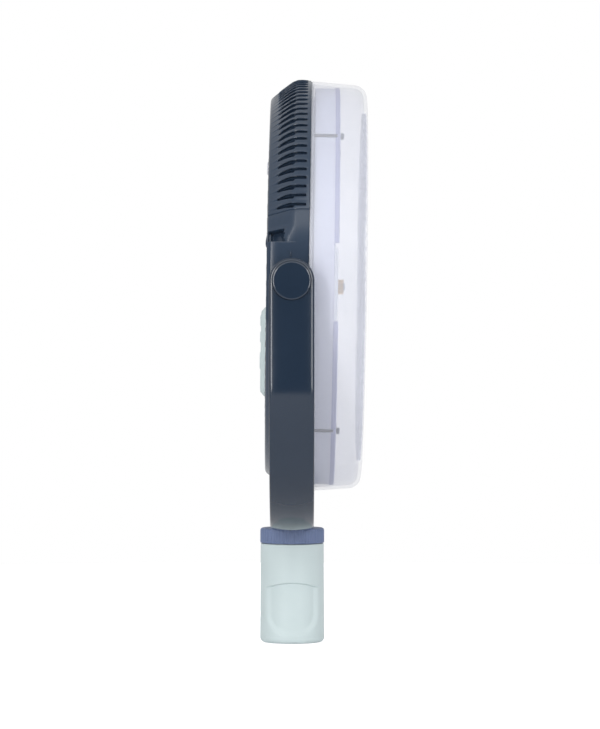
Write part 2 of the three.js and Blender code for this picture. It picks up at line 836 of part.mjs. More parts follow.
function addGuardAndDuct() {
  const start = head.seam + seatGap;
  const narrowing = Math.tan(THREE.MathUtils.degToRad(guard.draft));
  const outerStart = head.radius - guard.step;
  const outerEnd = outerStart - (head.front - start) * narrowing;
  const inset = guard.wall;
  const shell = turned(
    [
      [outerStart, start],
      [outerEnd, head.front, guard.corner],
      [frontOpening - 1, head.front],
      [frontOpening - 1, head.front - guard.depth],
      [outerEnd - inset, head.front - guard.depth, guard.corner - inset],
      [outerStart - inset, start],
    ],
    "x",
    fine,
    2,
  );
  const middle = (guard.hub + frontOpening) / 2;
  const face = grille(
    {
      radius: frontOpening,
      rings: [[guard.hub, middle - 1.5], [middle + 1.5, frontOpening - 2]],
      bars: guard.bars,
      barWidth: guard.barWidth,
    },
    head.front - guard.depth,
    head.front,
  );
  const lipOuter = head.radius - head.wall - seatGap;
  const lipInner = outerStart - inset - 2 * seatGap - guard.lip;
  const cheekInside = cheekFace - head.wall - seatGap;
  const lip = ring(lipInner, lipOuter, head.seam - guard.lipDepth, start + 1, "x", fine).intersect(
    box([-beyond, -cheekInside, -beyond], [beyond, cheekInside, beyond]),
  );
  const lipRing = ring(lipInner, outerStart - 0.5, start, start + 1, "x", fine);
  piece("front_guard", join(shell, face, lipRing, lip), frosted, headGroup);

  const inner = ductTip + duct.wall;
  const ducting = turned(
    [
      [ductTip, duct.rear],
      [lipInner - seatGap, duct.rear],
      [lipInner - seatGap, duct.rear + duct.rearWall],
      [inner, duct.rear + duct.rearWall],
      [inner, duct.lip - duct.lipWall],
      [ductOuter - duct.wall, duct.lip - duct.lipWall],
      [ductOuter - duct.wall, start + guard.lip],
      [ductOuter, start + guard.lip],
      [ductOuter, duct.lip],
      [ductTip, duct.lip],
    ],
    "x",
    fine,
  );
  const notches = [1, -1].map((sign) =>
    box(
      [duct.lip - duct.notchDepth, Math.min(sign * inner, sign * beyond), -duct.notch],
      [duct.lip + 1, Math.max(sign * inner, sign * beyond), duct.notch],
    ),
  );
  const flats = box([-beyond, -cheekInside, -beyond], [start + 1, cheekInside, beyond]);
  const rest = box([start + 1, -beyond, -beyond], [beyond, beyond, beyond]);
  const holes = screwPlaces().map(([y, z]) =>
    ring(0, screw.rod + seatGap, duct.rear - 1, duct.lip + 1, "x", 12).translate([0, y, z]),
  );
  const whole = join(ducting.intersect(flats), ducting.intersect(rest));
  piece("duct_ring", cut(whole, ...notches, ...holes), lavender, headGroup);

  screwPlaces().forEach(([y, z], i) => {
    const seat = duct.lip + seatGap;
    const shape = turned(
      [
        [0, screw.end],
        [screw.rod - seatGap, screw.end],
        [screw.rod - seatGap, duct.rear - seatGap],
        [screw.rod, duct.rear - seatGap],
        [screw.rod, seat],
        [screw.head, seat],
        [screw.head, seat + screw.headHeight, 0.8],
        [0, seat + screw.headHeight],
      ],
      "x",
      12,
    );
    piece(`guard_screw_${i + 1}`, shape.translate([0, y, z]), darkSteel, headGroup);
  });
}

// The rear grille with its control panel, the board behind it, the pod over it and the keys.
function addRear() {
  const low = head.rear;
  const high = rearInside;
  const outer = rearOpening - seatGap;
  const middle = (rearGrille.hub + grilleRim) / 2;
  const bars = grille(
    {
      radius: grilleRim + 1,
      rings: [[rearGrille.hub, middle - 1.5], [middle + 1.5, grilleRim]],
      bars: rearGrille.bars,
      barWidth: rearGrille.barWidth,
    },
    low,
    high,
  );
  const flangeLow = high + seatGap;
  const rim = turned(
    [
      [grilleRim, low],
      [outer, low],
      [outer, flangeLow],
      [outer + rearGrille.flange, flangeLow],
      [outer + rearGrille.flange, flangeLow + rearGrille.flangeHeight],
      [grilleRim, flangeLow + rearGrille.flangeHeight],
    ],
    "x",
    fine,
  );
  const panelHalf = rearGrille.panelWidth / 2;
  const panelBottom = rearGrille.panelInset - grilleRim;
  const panel = box([low, -panelHalf, panelBottom], [high, panelHalf, -rearGrille.panelInset]);
  const timerPad = ring(0, timer.pad, low, high, "x").translate([0, 0, timerHeight]);
  const boardLow = high + board.standoff;
  const boardMiddle = podCentre;
  const [insetY, insetZ] = board.postInset;
  const standoffs = [-1, 1].flatMap((sideY) =>
    [-1, 1].map((sideZ) =>
      ring(0, board.postRadius, high - 1, boardLow - seatGap, "x", 12).translate([
        0,
        sideY * (board.width / 2 - insetY),
        boardMiddle + sideZ * (board.height / 2 - insetZ),
      ]),
    ),
  );
  const plungers = Object.values(keys).map(({ up }) =>
    ring(0, key.plunger + runGap, low - 1, high + 1, "x").translate([0, 0, podCentre + up]),
  );
  const timerHole = ring(0, timer.radius + runGap, low - 1, high + 1, "x").translate([0, 0, timerHeight]);
  piece(
    "rear_grille",
    cut(join(bars, rim, panel, timerPad, ...standoffs), ...plungers, timerHole),
    slate,
    headGroup,
  );

  const switchHalf = key.switchWidth / 2;
  const keySwitch = box(
    [boardLow - key.switchHeight, -switchHalf, -switchHalf],
    [boardLow + board.thickness, switchHalf, switchHalf],
  );
  const switches = Object.values(keys).map(({ up }) => keySwitch.translate([0, 0, podCentre + up]));
  piece(
    "control_board",
    join(
      box(
        [boardLow, -board.width / 2, boardMiddle - board.height / 2],
        [boardLow + board.thickness, board.width / 2, boardMiddle + board.height / 2],
      ),
      ...switches,
    ),
    boardGreen,
    headGroup,
  );

  const podBack = low - pod.proud;
  const podSeat = low - seatGap;
  const podShape = (width, height, x0, x1, slope) => {
    const outline = softened([
      [x1, -height / 2],
      [x0, slope - height / 2, 1],
      [x0, height / 2 - slope, 1],
      [x1, height / 2],
    ]);
    return upright(outline, -width / 2, width / 2).translate([0, 0, podCentre]);
  };
  const keyHoles = Object.values(keys).map(({ up, radius }) =>
    ring(0, radius + runGap, podBack - 1, podSeat, "x").translate([0, 0, podCentre + up]),
  );
  piece(
    "control_pod",
    cut(
      podShape(pod.width, pod.height, podBack, podSeat, pod.slope),
      podShape(
        pod.width - 2 * pod.wall,
        pod.height - 2 * pod.slope - 1,
        podBack + pod.wall,
        podSeat + 1,
        0.5,
      ),
      ...keyHoles,
    ),
    sage,
    headGroup,
  );
  for (const [name, { up, radius }] of Object.entries(keys)) {
    const flangeBack = podBack + pod.wall + seatGap;
    const tip = boardLow - key.switchHeight - seatGap - key.travel;
    const shape = turned(
      [
        [0, podBack - key.proud],
        [radius, podBack - key.proud, 0.5],
        [radius, flangeBack],
        [radius + key.flange, flangeBack],
        [radius + key.flange, flangeBack + key.flangeHeight],
        [key.plunger, flangeBack + key.flangeHeight],
        [key.plunger, tip],
        [0, tip],
      ],
      "x",
      16,
      1,
    );
    piece(`${name}_key`, shape.translate([0, 0, podCentre + up]), sage, headGroup);
  }

  const timerFlange = high + seatGap;
  const button = turned(
    [
      [0, low - timer.proud],
      [timer.radius, low - timer.proud, 0.6],
      [timer.radius, timerFlange],
      [timer.radius + key.flange, timerFlange],
      [timer.radius + key.flange, timerFlange + timer.flangeHeight],
      [0, timerFlange + timer.flangeHeight],
    ],
    "x",
  );
  piece("timer_button", button.translate([0, 0, timerHeight]), keyGrey, headGroup);
  const switchLow = timerFlange + timer.flangeHeight + seatGap + key.travel;
  const timerHalf = timer.switchWidth / 2;
  const timerSwitch = box(
    [switchLow, -timerHalf, timerHeight - timerHalf],
    [switchLow + timer.switchDepth, timerHalf, timerHeight + timerHalf],
  );
  piece("timer_switch", timerSwitch, rubber, headGroup);
}

// The motor on the rear hub, and the impeller that turns on it.
function addMotor() {
  const baseLow = rearInside + seatGap;
  const baseHigh = baseLow + motor.baseThickness;
  const bellInner = motor.bell - motor.bellWall;
  const magnetOuter = bellInner - seatGap;
  const magnetInner = magnetOuter - motor.magnet;
  const stator = magnetInner - motor.magnetGap;
  const sleeve = motor.shaft + seatGap;
  piece(
    "motor_base",
    turned(
      [
        [motor.tubeBore, baseLow],
        [motor.base, baseLow],
        [motor.base, baseHigh],
        [motor.tube, baseHigh],
        [motor.tube, motor.tubeEnd],
        [motor.tubeBore, motor.tubeEnd],
      ],
      "x",
    ),
    darkSteel,
    headGroup,
  );
  const outline = new THREE.Shape();
  const step = (2 * Math.PI) / motor.poles;
  const neck = stator - motor.poleNeck;
  const shoe = neck + motor.poleShoe;
  for (let i = 0; i < motor.poles; i++) {
    const half = [[motor.core, 0.3], [neck, 0.12], [shoe, 0.38], [stator, 0.4]];
    const corners = [...half.map(([radius, part]) => [radius, -part]), ...half.reverse()];
    corners.forEach(([radius, part], k) => {
      const angle = (i + part) * step;
      outline[i + k ? "lineTo" : "moveTo"](radius * Math.cos(angle), radius * Math.sin(angle));
    });
  }
  outline.holes.push(new THREE.Path().absarc(0, 0, motor.tube + seatGap, 0, 2 * Math.PI));
  piece("stator", facing(outline, motor.stackRear, motor.stackFront), copper, headGroup);
  const bearing = (low) => ring(sleeve, motor.tubeBore - seatGap, low, low + motor.bearing, "x");
  const bearingRear = motor.shaftRear + motor.bearingInset;
  piece("bearing_rear", bearing(bearingRear), steel, headGroup);
  piece("bearing_front", bearing(motor.tubeEnd - motor.bearingInset - motor.bearing), steel, headGroup);

  const { hubFront } = fan;
  const shaft = ring(0, motor.shaft, motor.shaftRear, hubFront + motor.shaftReach, "x", 24);
  piece("motor_shaft", shaft, steel, headGroup);
  const bellFront = motor.tubeEnd + 2.5;
  piece(
    "magnet_bell",
    turned(
      [
        [bellInner, motor.bellRear],
        [motor.bell, motor.bellRear],
        [motor.bell, bellFront, 1],
        [sleeve, bellFront],
        [sleeve, motor.tubeEnd + 0.8],
        [bellInner, motor.tubeEnd + 0.8],
      ],
      "x",
    ),
    darkSteel,
    headGroup,
  );
  const magnets = ring(magnetInner, magnetOuter, motor.stackRear, motor.stackFront, "x");
  piece("magnet_ring", magnets, rubber, headGroup);

  const hubInner = fanHub - fan.wall;
  const hub = turned(
    [
      [hubInner, fan.hubRear],
      [fanHub, fan.hubRear],
      [fanHub, hubFront, 5],
      [sleeve, hubFront],
      [sleeve, bellFront + seatGap],
      [sleeve + fan.sleeveWall, bellFront + seatGap],
      [sleeve + fan.sleeveWall, hubFront - fan.wall],
      [hubInner, hubFront - fan.wall, 3],
    ],
    "x",
    coarse,
  );
  const blades = Array.from({ length: fan.blades }, (_, i) => blade((i * 2 * Math.PI) / fan.blades));
  piece("impeller", join(hub, ...blades), frosted, headGroup);
  piece(
    "impeller_nut",
    cut(
      ring(0, 2 * motor.shaft, hubFront + seatGap, hubFront + fan.nutHeight, "x", 6),
      ring(0, sleeve, hubFront - 1, hubFront + fan.nutHeight + 1, "x"),
    ),
    brass,
    headGroup,
  );
}

// One blade, twisted from its root to its tip, as a closed grid of points.
function blade(turn) {
  const radial = 4;
  const across = 3;
  const rings = [];
  for (let i = 0; i <= radial; i++) {
    const part = i / radial;
    const radius = THREE.MathUtils.lerp(fanHub - fan.wall / 2, fanRadius, part);
    const chord = fan.chord * (0.72 + 0.5 * part - 0.2 * part ** 2);
    const pitch = THREE.MathUtils.degToRad(fan.pitch - fan.twist * part);
    const loop = [];
    for (const face of [1, -1]) {
      for (let j = 0; j <= across; j++) {
        const u = face > 0 ? j / across : 1 - j / across;
        const camber = fan.camber * Math.sin(Math.PI * u);
        const thick = face * (fan.thickness / 2) * (0.35 + 0.65 * Math.sin(Math.PI * Math.min(1, u + 0.2)));
        const run = (u - 0.5) * chord;
        const rise = camber + thick;
        const arc = run * Math.cos(pitch) + rise * Math.sin(pitch) + fan.sweep * part;
        const x = fan.middle + run * Math.sin(pitch) - rise * Math.cos(pitch);
        const angle = turn + arc / radius;
        loop.push([x, radius * Math.cos(angle), radius * Math.sin(angle)]);
      }
    }
    rings.push(loop);
  }
  const count = rings[0].length;
  const faces = [];
  for (let i = 0; i < radial; i++) {
    for (let j = 0; j < count; j++) {
      const a = i * count + j;
      const b = i * count + ((j + 1) % count);
      faces.push(a, b, b + count, a, b + count, a + count);
    }
  }
  const last = radial * count;
  for (let j = 0; j + 1 < count / 2; j++) {
    const [a, b, c, d] = [j, j + 1, count - 2 - j, count - 1 - j];
    faces.push(a, c, b, a, d, c, last + a, last + b, last + c, last + a, last + c, last + d);
  }
  const geometry = new THREE.BufferGeometry();
  geometry.setAttribute("position", new THREE.Float32BufferAttribute(rings.flat(2), 3));
  geometry.setIndex(faces);
  return solid(geometry);
}

addGrip();
addCollar();
addSwivel();
addYoke();
addHousing();
addGuardAndDuct();
addRear();
addMotor();

export default object;
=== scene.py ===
import json
import math
import bmesh
import bpy
from mathutils import Matrix, Vector


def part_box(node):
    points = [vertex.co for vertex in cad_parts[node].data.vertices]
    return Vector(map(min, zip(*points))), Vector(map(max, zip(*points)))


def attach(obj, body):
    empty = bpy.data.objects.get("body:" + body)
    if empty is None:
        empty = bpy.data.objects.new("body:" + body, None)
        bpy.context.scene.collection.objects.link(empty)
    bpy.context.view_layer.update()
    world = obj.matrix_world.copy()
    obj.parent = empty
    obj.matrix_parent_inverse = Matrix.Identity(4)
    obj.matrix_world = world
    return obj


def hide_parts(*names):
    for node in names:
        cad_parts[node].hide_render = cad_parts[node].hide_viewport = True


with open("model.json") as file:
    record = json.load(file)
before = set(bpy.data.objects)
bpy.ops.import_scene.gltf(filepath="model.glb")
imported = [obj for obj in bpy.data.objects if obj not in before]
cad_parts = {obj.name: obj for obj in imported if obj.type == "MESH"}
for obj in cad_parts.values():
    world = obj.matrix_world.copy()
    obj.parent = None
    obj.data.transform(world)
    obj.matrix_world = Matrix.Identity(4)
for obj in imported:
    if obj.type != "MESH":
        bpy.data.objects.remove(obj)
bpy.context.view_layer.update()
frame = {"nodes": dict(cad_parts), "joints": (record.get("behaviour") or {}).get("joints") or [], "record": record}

mm = 0.001
joints = {joint["name"]: joint for joint in frame["joints"]}

# The head's own frame: its middle on the tilt axis, X out of the front, nose a little down.
pivotPlace = Vector(joints["head_tilt"]["pos_m"])
spinAxis = Vector(joints["fan_spin"]["axis"]).normalized()
headPlace = Matrix.Translation(pivotPlace) @ Matrix.Rotation(math.atan2(-spinAxis.z, spinAxis.x), 4, "Y")
upright = Matrix.Identity(4)


def headBox(node):
    # lowest and highest corners of a node in the head's own frame, in mm
    back = headPlace.inverted()
    points = [back @ vertex.co / mm for vertex in frame["nodes"][node].data.vertices]
    return [[pick(point[i] for point in points) for i in range(3)] for pick in (min, max)]


def plainBox(node):
    return [[value / mm for value in corner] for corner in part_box(node)]


def addNode(tree, kind, settings=None, **inputs):
    # one node, its settings, then values or links for its inputs, by name or as i3 for input 3
    node = tree.nodes.new(kind)
    for name, value in (settings or {}).items():
        setattr(node, name, value)
    for name, value in inputs.items():
        numbered = name[0] == "i" and name[1:].isdigit()
        socket = node.inputs[int(name[1:]) if numbered else name.replace("_", " ")]
        if isinstance(value, bpy.types.NodeSocket):
            tree.links.new(value, socket)
        else:
            socket.default_value = value
    return node


def srgb(text):
    # "#rrggbb" as a linear colour
    parts = [int(text[i:i + 2], 16) / 255 for i in (1, 3, 5)]
    return (*[part / 12.92 if part <= 0.04045 else ((part + 0.055) / 1.055) ** 2.4 for part in parts], 1)


# Finishes. base is the colour; mottle is the second colour of a drift over patches of driftGrains grains.
driftGrains = 60
finishes = {
    # satin grey-blue ABS with a spark-eroded grain: broad soft sheen, edges that catch the light
    "slateAbs": dict(base="#293749", mottle="#2c3b4e", roughness=0.24, grainMm=0.35, bump=0.025),
    # the same ABS from a polished tool, with crisp reflections; its darker base colour is painted shade
    "shadedPolishedAbs": dict(base="#1c2939", mottle="#1f2d3e", roughness=0.14, grainMm=0.35, bump=0.02),
    # pale sage ABS, finer and drier: chalky body with a faint sheen
    "sageAbs": dict(base="#c6d3d4", mottle="#c0cecf", roughness=0.48, grainMm=0.3, bump=0.04),
    # lilac-blue ABS of the ribbed collar
    "collarAbs": dict(base="#5f6f92", mottle="#68779a", roughness=0.46, grainMm=0.3, bump=0.04),
    # pale grey ABS of the timer button
    "paleAbs": dict(base="#d4d5dc", mottle="#cccdd5", roughness=0.45, grainMm=0.3, bump=0.03),
    # frosted polypropylene: milky and see-through with a glossy skin; alpha is for one face of a wall
    "frostedPp": dict(
        base="#f1f3fb", mottle="#eaedf8", roughness=0.2, grainMm=0.6, bump=0.02, alpha=0.27,
    ),
    # lavender-white polypropylene of the duct, dry and soft; its lip is painted a deeper lavender as shade
    "lavenderPp": dict(
        base="#cfd2e2", mottle="#c9cddf", roughness=0.5, grainMm=0.4, bump=0.03, deep="#8f93bd",
    ),
    # milky polypropylene of the impeller
    "impellerPp": dict(base="#dfe3ee", mottle="#d8dcea", roughness=0.35, grainMm=0.5, bump=0.02),
    # epoxy solder mask on the boards
    "solderMask": dict(base="#1f5a3c", mottle="#23633f", roughness=0.3, grainMm=0.8, bump=0.05),
    # heat-shrink sleeve on the cells
    "cellSleeve": dict(base="#3f6f96", mottle="#3a688c", roughness=0.3, grainMm=0.8, bump=0.02),
    # moulded nitrile rubber: dull and dark
    "nitrileRubber": dict(base="#1b1d20", mottle="#222529", roughness=0.75, grainMm=0.4, bump=0.1),
    # zinc-plated steel: bright, faintly brushed
    "zincSteel": dict(base="#b9bdc2", mottle="#a4a9b0", roughness=0.32, grainMm=0.25, bump=0.06, metal=1),
    # blackened steel: dark metal with a soft shine
    "blackSteel": dict(base="#5c6068", mottle="#4d5159", roughness=0.45, grainMm=0.3, bump=0.06, metal=1),
    # turned brass
    "turnedBrass": dict(base="#d2ab5e", mottle="#c49a4e", roughness=0.3, grainMm=0.3, bump=0.05, metal=1),
    # enamelled copper winding
    "enamelledCopper": dict(
        base="#b8683a", mottle="#9c5228", roughness=0.35, grainMm=0.45, bump=0.3, metal=1,
    ),
}


def mouldedMaterial(name, base, mottle, roughness, grainMm, bump, metal=0, alpha=1, deep=None):
    # a moulded or plated surface: slow colour drift, roughness that varies with it, fine grain as bump;
    # deep is a darker colour painted as shade on the faces set to 1 in the "deep" attribute
    material = bpy.data.materials.new(name)
    material.use_nodes = True
    tree = material.node_tree
    tree.nodes.clear()
    place = addNode(tree, "ShaderNodeTexCoord").outputs["Object"]
    mapped = addNode(tree, "ShaderNodeMapping", Vector=place).outputs["Vector"]
    scale = 1 / (grainMm * mm)
    drift = addNode(tree, "ShaderNodeTexNoise", Vector=mapped, Scale=scale / driftGrains, Detail=3.0)
    grain = addNode(tree, "ShaderNodeTexNoise", Vector=mapped, Scale=scale, Detail=2.0)
    colour = addNode(
        tree, "ShaderNodeMix", dict(data_type="RGBA"),
        i0=drift.outputs["Fac"], i6=srgb(base), i7=srgb(mottle),
    ).outputs[2]
    # painted shade: faces set to 1 in the "deep" attribute take the darker colour
    if deep:
        lipShadeMask = addNode(tree, "ShaderNodeAttribute", dict(attribute_name="deep")).outputs["Fac"]
        colour = addNode(
            tree, "ShaderNodeMix", dict(data_type="RGBA"), i0=lipShadeMask, i6=colour, i7=srgb(deep),
        ).outputs[2]
    rough = addNode(
        tree, "ShaderNodeMapRange", Value=drift.outputs["Fac"],
        From_Min=0.3, From_Max=0.7, To_Min=roughness * 0.92, To_Max=roughness * 1.08,
    )
    relief = addNode(
        tree, "ShaderNodeBump", Height=grain.outputs["Fac"], Strength=bump, Distance=grainMm * 0.3 * mm,
    )
    shader = addNode(
        tree, "ShaderNodeBsdfPrincipled", Base_Color=colour, Roughness=rough.outputs["Result"],
        Normal=relief.outputs["Normal"], Metallic=metal, Alpha=alpha,
    )
    output = addNode(tree, "ShaderNodeOutputMaterial")
    tree.links.new(shader.outputs["BSDF"], output.inputs["Surface"])
    return material


materials = {name: mouldedMaterial(name, **values) for name, values in finishes.items()}
print("materials:", len(materials))


def softened(corners, steps=6):
    # an outline with round corners from (a, b, radius) corners
    points = []
    for i, corner in enumerate(corners):
        here = Vector(corner[:2])
        radius = corner[2] if len(corner) > 2 else 0
        if not radius:
            points.append(here)
            continue
        back = (Vector(corners[i - 1][:2]) - here).normalized()
        ahead = (Vector(corners[(i + 1) % len(corners)][:2]) - here).normalized()
        half = back.angle(ahead) / 2
        centre = here + (back + ahead).normalized() * radius / math.sin(half)
        start = here + back * radius / math.tan(half) - centre
        turn = start.angle_signed(here + ahead * radius / math.tan(half) - centre)
        for k in range(steps + 1):
            angle = -turn * k / steps
            points.append(centre + Matrix.Rotation(angle, 2) @ start)
    return points


def makePiece(name, vertices, faces, finish, place=upright, sharp=40, recalc=True):
    # a mesh from points in mm, laid in the row frame, with doubles merged and faces out
    made = bmesh.new()
    corners = [made.verts.new(place @ (Vector(point) * mm)) for point in vertices]
    for face in faces:
        if len(set(face)) > 2:
            made.faces.new([corners[i] for i in face])
    bmesh.ops.remove_doubles(made, verts=made.verts, dist=0.002 * mm)
    bmesh.ops.dissolve_degenerate(made, edges=made.edges, dist=0.001 * mm)
    if recalc:
        bmesh.ops.recalc_face_normals(made, faces=made.faces)
    mesh = bpy.data.meshes.new(name)
    made.to_mesh(mesh)
    made.free()
    piece = bpy.data.objects.new(name, mesh)
    bpy.context.scene.collection.objects.link(piece)
    mesh.materials.append(materials[finish])
    mesh.shade_smooth()
    mesh.set_sharp_from_angle(angle=math.radians(sharp))
    return piece


def modify(piece, kind, **settings):
    modifier = piece.modifiers.new(kind.lower(), kind)
    for name, value in settings.items():
        setattr(modifier, name, value)
    return modifier


def settle(piece, sharp=40):
    # the evaluated shape as the piece's own plain mesh
    bpy.context.view_layer.update()
    evaluated = piece.evaluated_get(bpy.context.evaluated_depsgraph_get())
    mesh = bpy.data.meshes.new_from_object(evaluated)
    mesh.name = piece.name
    piece.modifiers.clear()
    piece.data = mesh
    mesh.shade_smooth()
    mesh.set_sharp_from_angle(angle=math.radians(sharp))
    return piece


def rounded(piece, width, segments=3, angle=35, clamp=True):
    # soft moulded edges
    modify(
        piece, "BEVEL", width=width * mm, segments=segments, limit_method="ANGLE",
        angle_limit=math.radians(angle), use_clamp_overlap=clamp,
    )
    return piece


def carve(piece, *tools):
    # cut closed pieces out of another and drop them
    for tool in tools:
        modify(piece, "BOOLEAN", operation="DIFFERENCE", solver="EXACT", object=tool)
    settle(piece)
    for tool in tools:
        bpy.data.objects.remove(tool)
    return piece


def fuse(first, *others):
    # several pieces of one body as one mesh
    made = bmesh.new()
    for part in (first, *others):
        settle(part)
        made.from_mesh(part.data)
    made.to_mesh(first.data)
    made.free()
    for part in others:
        bpy.data.objects.remove(part)
    return first


def spun(name, outline, finish, axis="x", sides=128, place=upright, arc=6, shift=(0, 0, 0), sharp=40):
    # a closed outline of (along, radius, corner radius) turned round an axis
    points = softened(outline, arc)
    count = len(points)
    vertices = []
    for i in range(sides):
        angle = 2 * math.pi * i / sides
        wide, deep = math.cos(angle), math.sin(angle)
        for along, radius in points:
            spot = {
                "x": (along, radius * wide, radius * deep),
                "y": (radius * deep, along, radius * wide),
                "z": (radius * wide, radius * deep, along),
            }[axis]
            vertices.append([spot[k] + shift[k] for k in range(3)])
    faces = []
    for i in range(sides):
        for j in range(count):
            a, b = i * count + j, i * count + (j + 1) % count
            c = (i + 1) % sides * count
            faces.append((a, b, c + (j + 1) % count, c + j))
    return makePiece(name, vertices, faces, finish, place, sharp)


def block(name, low, high, finish, place=upright):
    vertices = [[(low, high)[i >> k & 1][k] for k in range(3)] for i in range(8)]
    faces = [(0, 2, 3, 1), (4, 5, 7, 6), (0, 1, 5, 4), (2, 6, 7, 3), (0, 4, 6, 2), (1, 3, 7, 5)]
    return makePiece(name, vertices, faces, finish, place)


def sheetPiece(name, rows, finish, place=upright, sharp=40, skip=()):
    # an open sheet from rows of points of equal number; skip holds (row, column) cells left open
    wide = len(rows[0])
    vertices = [point for row in rows for point in row]
    faces = []
    for i in range(len(rows) - 1):
        for j in range(wide - 1):
            if (i, j) in skip:
                continue
            a, b = i * wide + j, (i + 1) * wide + j
            faces.append((a, a + 1, b + 1, b))
    return makePiece(name, vertices, faces, finish, place, sharp, recalc=False)


def makeRepeater():
    # copies of a module turned step by step round an axis, welded where they meet
    tree = bpy.data.node_groups.new("repeatRound", "GeometryNodeTree")
    face = tree.interface
    face.new_socket("Module", in_out="INPUT", socket_type="NodeSocketGeometry")
    for label, kind in (
        ("Count", "NodeSocketInt"), ("Step", "NodeSocketFloat"), ("Start", "NodeSocketFloat"),
        ("Axis", "NodeSocketVector"), ("Centre", "NodeSocketVector"), ("Weld", "NodeSocketFloat"),
        ("Finish", "NodeSocketMaterial"),
    ):
        face.new_socket(label, in_out="INPUT", socket_type=kind)
    face.new_socket("Ring", in_out="OUTPUT", socket_type="NodeSocketGeometry")
    given = addNode(tree, "NodeGroupInput").outputs
    line = addNode(tree, "GeometryNodeMeshLine", Count=given["Count"], Offset=(0.0, 0.0, 0.0))
    index = addNode(tree, "GeometryNodeInputIndex").outputs["Index"]
    angle = addNode(
        tree, "ShaderNodeMath", dict(operation="MULTIPLY_ADD"), i0=index, i1=given["Step"], i2=given["Start"],
    )
    turn = addNode(tree, "FunctionNodeAxisAngleToRotation", Axis=given["Axis"], Angle=angle.outputs[0])
    centred = addNode(
        tree, "ShaderNodeVectorMath", dict(operation="SCALE"), i0=given["Centre"], Scale=-1.0,
    ).outputs[0]
    moved = addNode(tree, "GeometryNodeTransform", Geometry=given["Module"], Translation=centred)
    copies = addNode(
        tree, "GeometryNodeInstanceOnPoints", Points=line.outputs["Mesh"],
        Instance=moved.outputs["Geometry"], Rotation=turn.outputs["Rotation"],
    )
    back = addNode(tree, "GeometryNodeTransform", Geometry=copies.outputs[0], Translation=given["Centre"])
    real = addNode(tree, "GeometryNodeRealizeInstances", Geometry=back.outputs[0])
    weld = addNode(tree, "GeometryNodeMergeByDistance", Geometry=real.outputs[0], Distance=given["Weld"])
    dressed = addNode(tree, "GeometryNodeSetMaterial", Geometry=weld.outputs[0], Material=given["Finish"])
    out = addNode(tree, "NodeGroupOutput")
    tree.links.new(dressed.outputs[0], out.inputs[0])
    return tree


repeater = makeRepeater()
headAxis = headPlace.to_3x3() @ Vector((1, 0, 0))


def repeat(piece, count, step, start=0, axis=headAxis, centre=pivotPlace, weld=0.01, sharp=40):
    # turn a module round an axis with the repeater; step and start are in degrees
    modifier = piece.modifiers.new("repeat", "NODES")
    modifier.node_group = repeater
    values = dict(
        Count=count, Step=math.radians(step), Start=math.radians(start), Axis=list(axis), Centre=list(centre),
        Weld=weld * mm, Finish=piece.data.materials[0],
    )
    for item in repeater.interface.items_tree:
        if item.in_out == "INPUT" and item.name in values:
            modifier[item.identifier] = values[item.name]
    return settle(piece, sharp)


# Floor, lights and camera.
studio = {
    "distance": 2254, "height": 189.2, "side": 5.3, "lens": 163.0,  # mm
    "floor": "#e4e4e6", "floorGlow": 0.8, "floorBounce": 0.15,
    # brightness that the object sees before it, overhead, and beside and behind it
    "skyLow": 0.1, "skyHigh": 0.65, "skyBehind": 0.75,
    "floorRadius": 900, "floorGap": 0.3,
    "lights": {  # place, aim, size in mm and power in W
        "leftBox": ((-1100, -1800, 450), (0, 0, 250), (420, 1300), 14),
        "rightBox": ((1100, -1800, 450), (0, 0, 250), (420, 1300), 11),
        "frontBox": ((0, -1500, 1400), (0, 0, 230), (2600, 1200), 13),
    },
}


def addLight(name, place, aim, size, power):
    light = bpy.data.lights.new(name, "AREA")
    light.shape = "RECTANGLE"
    light.size, light.size_y = [value * mm for value in size]
    light.energy = power
    lamp = bpy.data.objects.new(name, light)
    bpy.context.scene.collection.objects.link(lamp)
    lamp.location = Vector(place) * mm
    lamp.rotation_euler = (Vector(aim) * mm - lamp.location).to_track_quat("-Z", "Y").to_euler()


def addCamera():
    scene = bpy.context.scene
    scene.view_settings.view_transform = "Standard"
    camera = bpy.data.cameras.new("camera")
    camera.lens = studio["lens"]
    camera.clip_end = 50
    eye = bpy.data.objects.new("camera", camera)
    scene.collection.objects.link(eye)
    eye.location = Vector((studio["side"], -studio["distance"], studio["height"])) * mm
    eye.rotation_euler = (math.pi / 2, 0, 0)
    scene.camera = eye


def addSky():
    # white to the eye; to the object dark before it, brighter overhead, bright beside and behind it
    world = bpy.data.worlds.new("studio")
    bpy.context.scene.world = world
    world.use_nodes = True
    tree = world.node_tree
    tree.nodes.clear()
    seen = addNode(tree, "ShaderNodeLightPath").outputs["Is Camera Ray"]
    direction = addNode(tree, "ShaderNodeTexCoord").outputs["Generated"]
    parts = addNode(tree, "ShaderNodeSeparateXYZ", Vector=direction).outputs
    above = addNode(
        tree, "ShaderNodeMapRange", dict(interpolation_type="SMOOTHSTEP"), Value=parts["Z"],
        From_Min=0.02, From_Max=0.4, To_Min=studio["skyLow"], To_Max=studio["skyHigh"],
    )
    behind = addNode(
        tree, "ShaderNodeMapRange", dict(interpolation_type="SMOOTHSTEP"), Value=parts["Y"],
        From_Min=-0.5, From_Max=0.1, To_Max=studio["skyBehind"],
    )
    sky = addNode(
        tree, "ShaderNodeMath", dict(operation="MAXIMUM"), i0=above.outputs[0], i1=behind.outputs[0],
    )
    strength = addNode(tree, "ShaderNodeMix", i0=seen, i2=sky.outputs[0], i3=1.0)
    light = addNode(tree, "ShaderNodeBackground", Strength=strength.outputs[0])
    light.inputs["Color"].default_value = srgb("#ffffff")
    out = addNode(tree, "ShaderNodeOutputWorld")
    tree.links.new(light.outputs[0], out.inputs["Surface"])


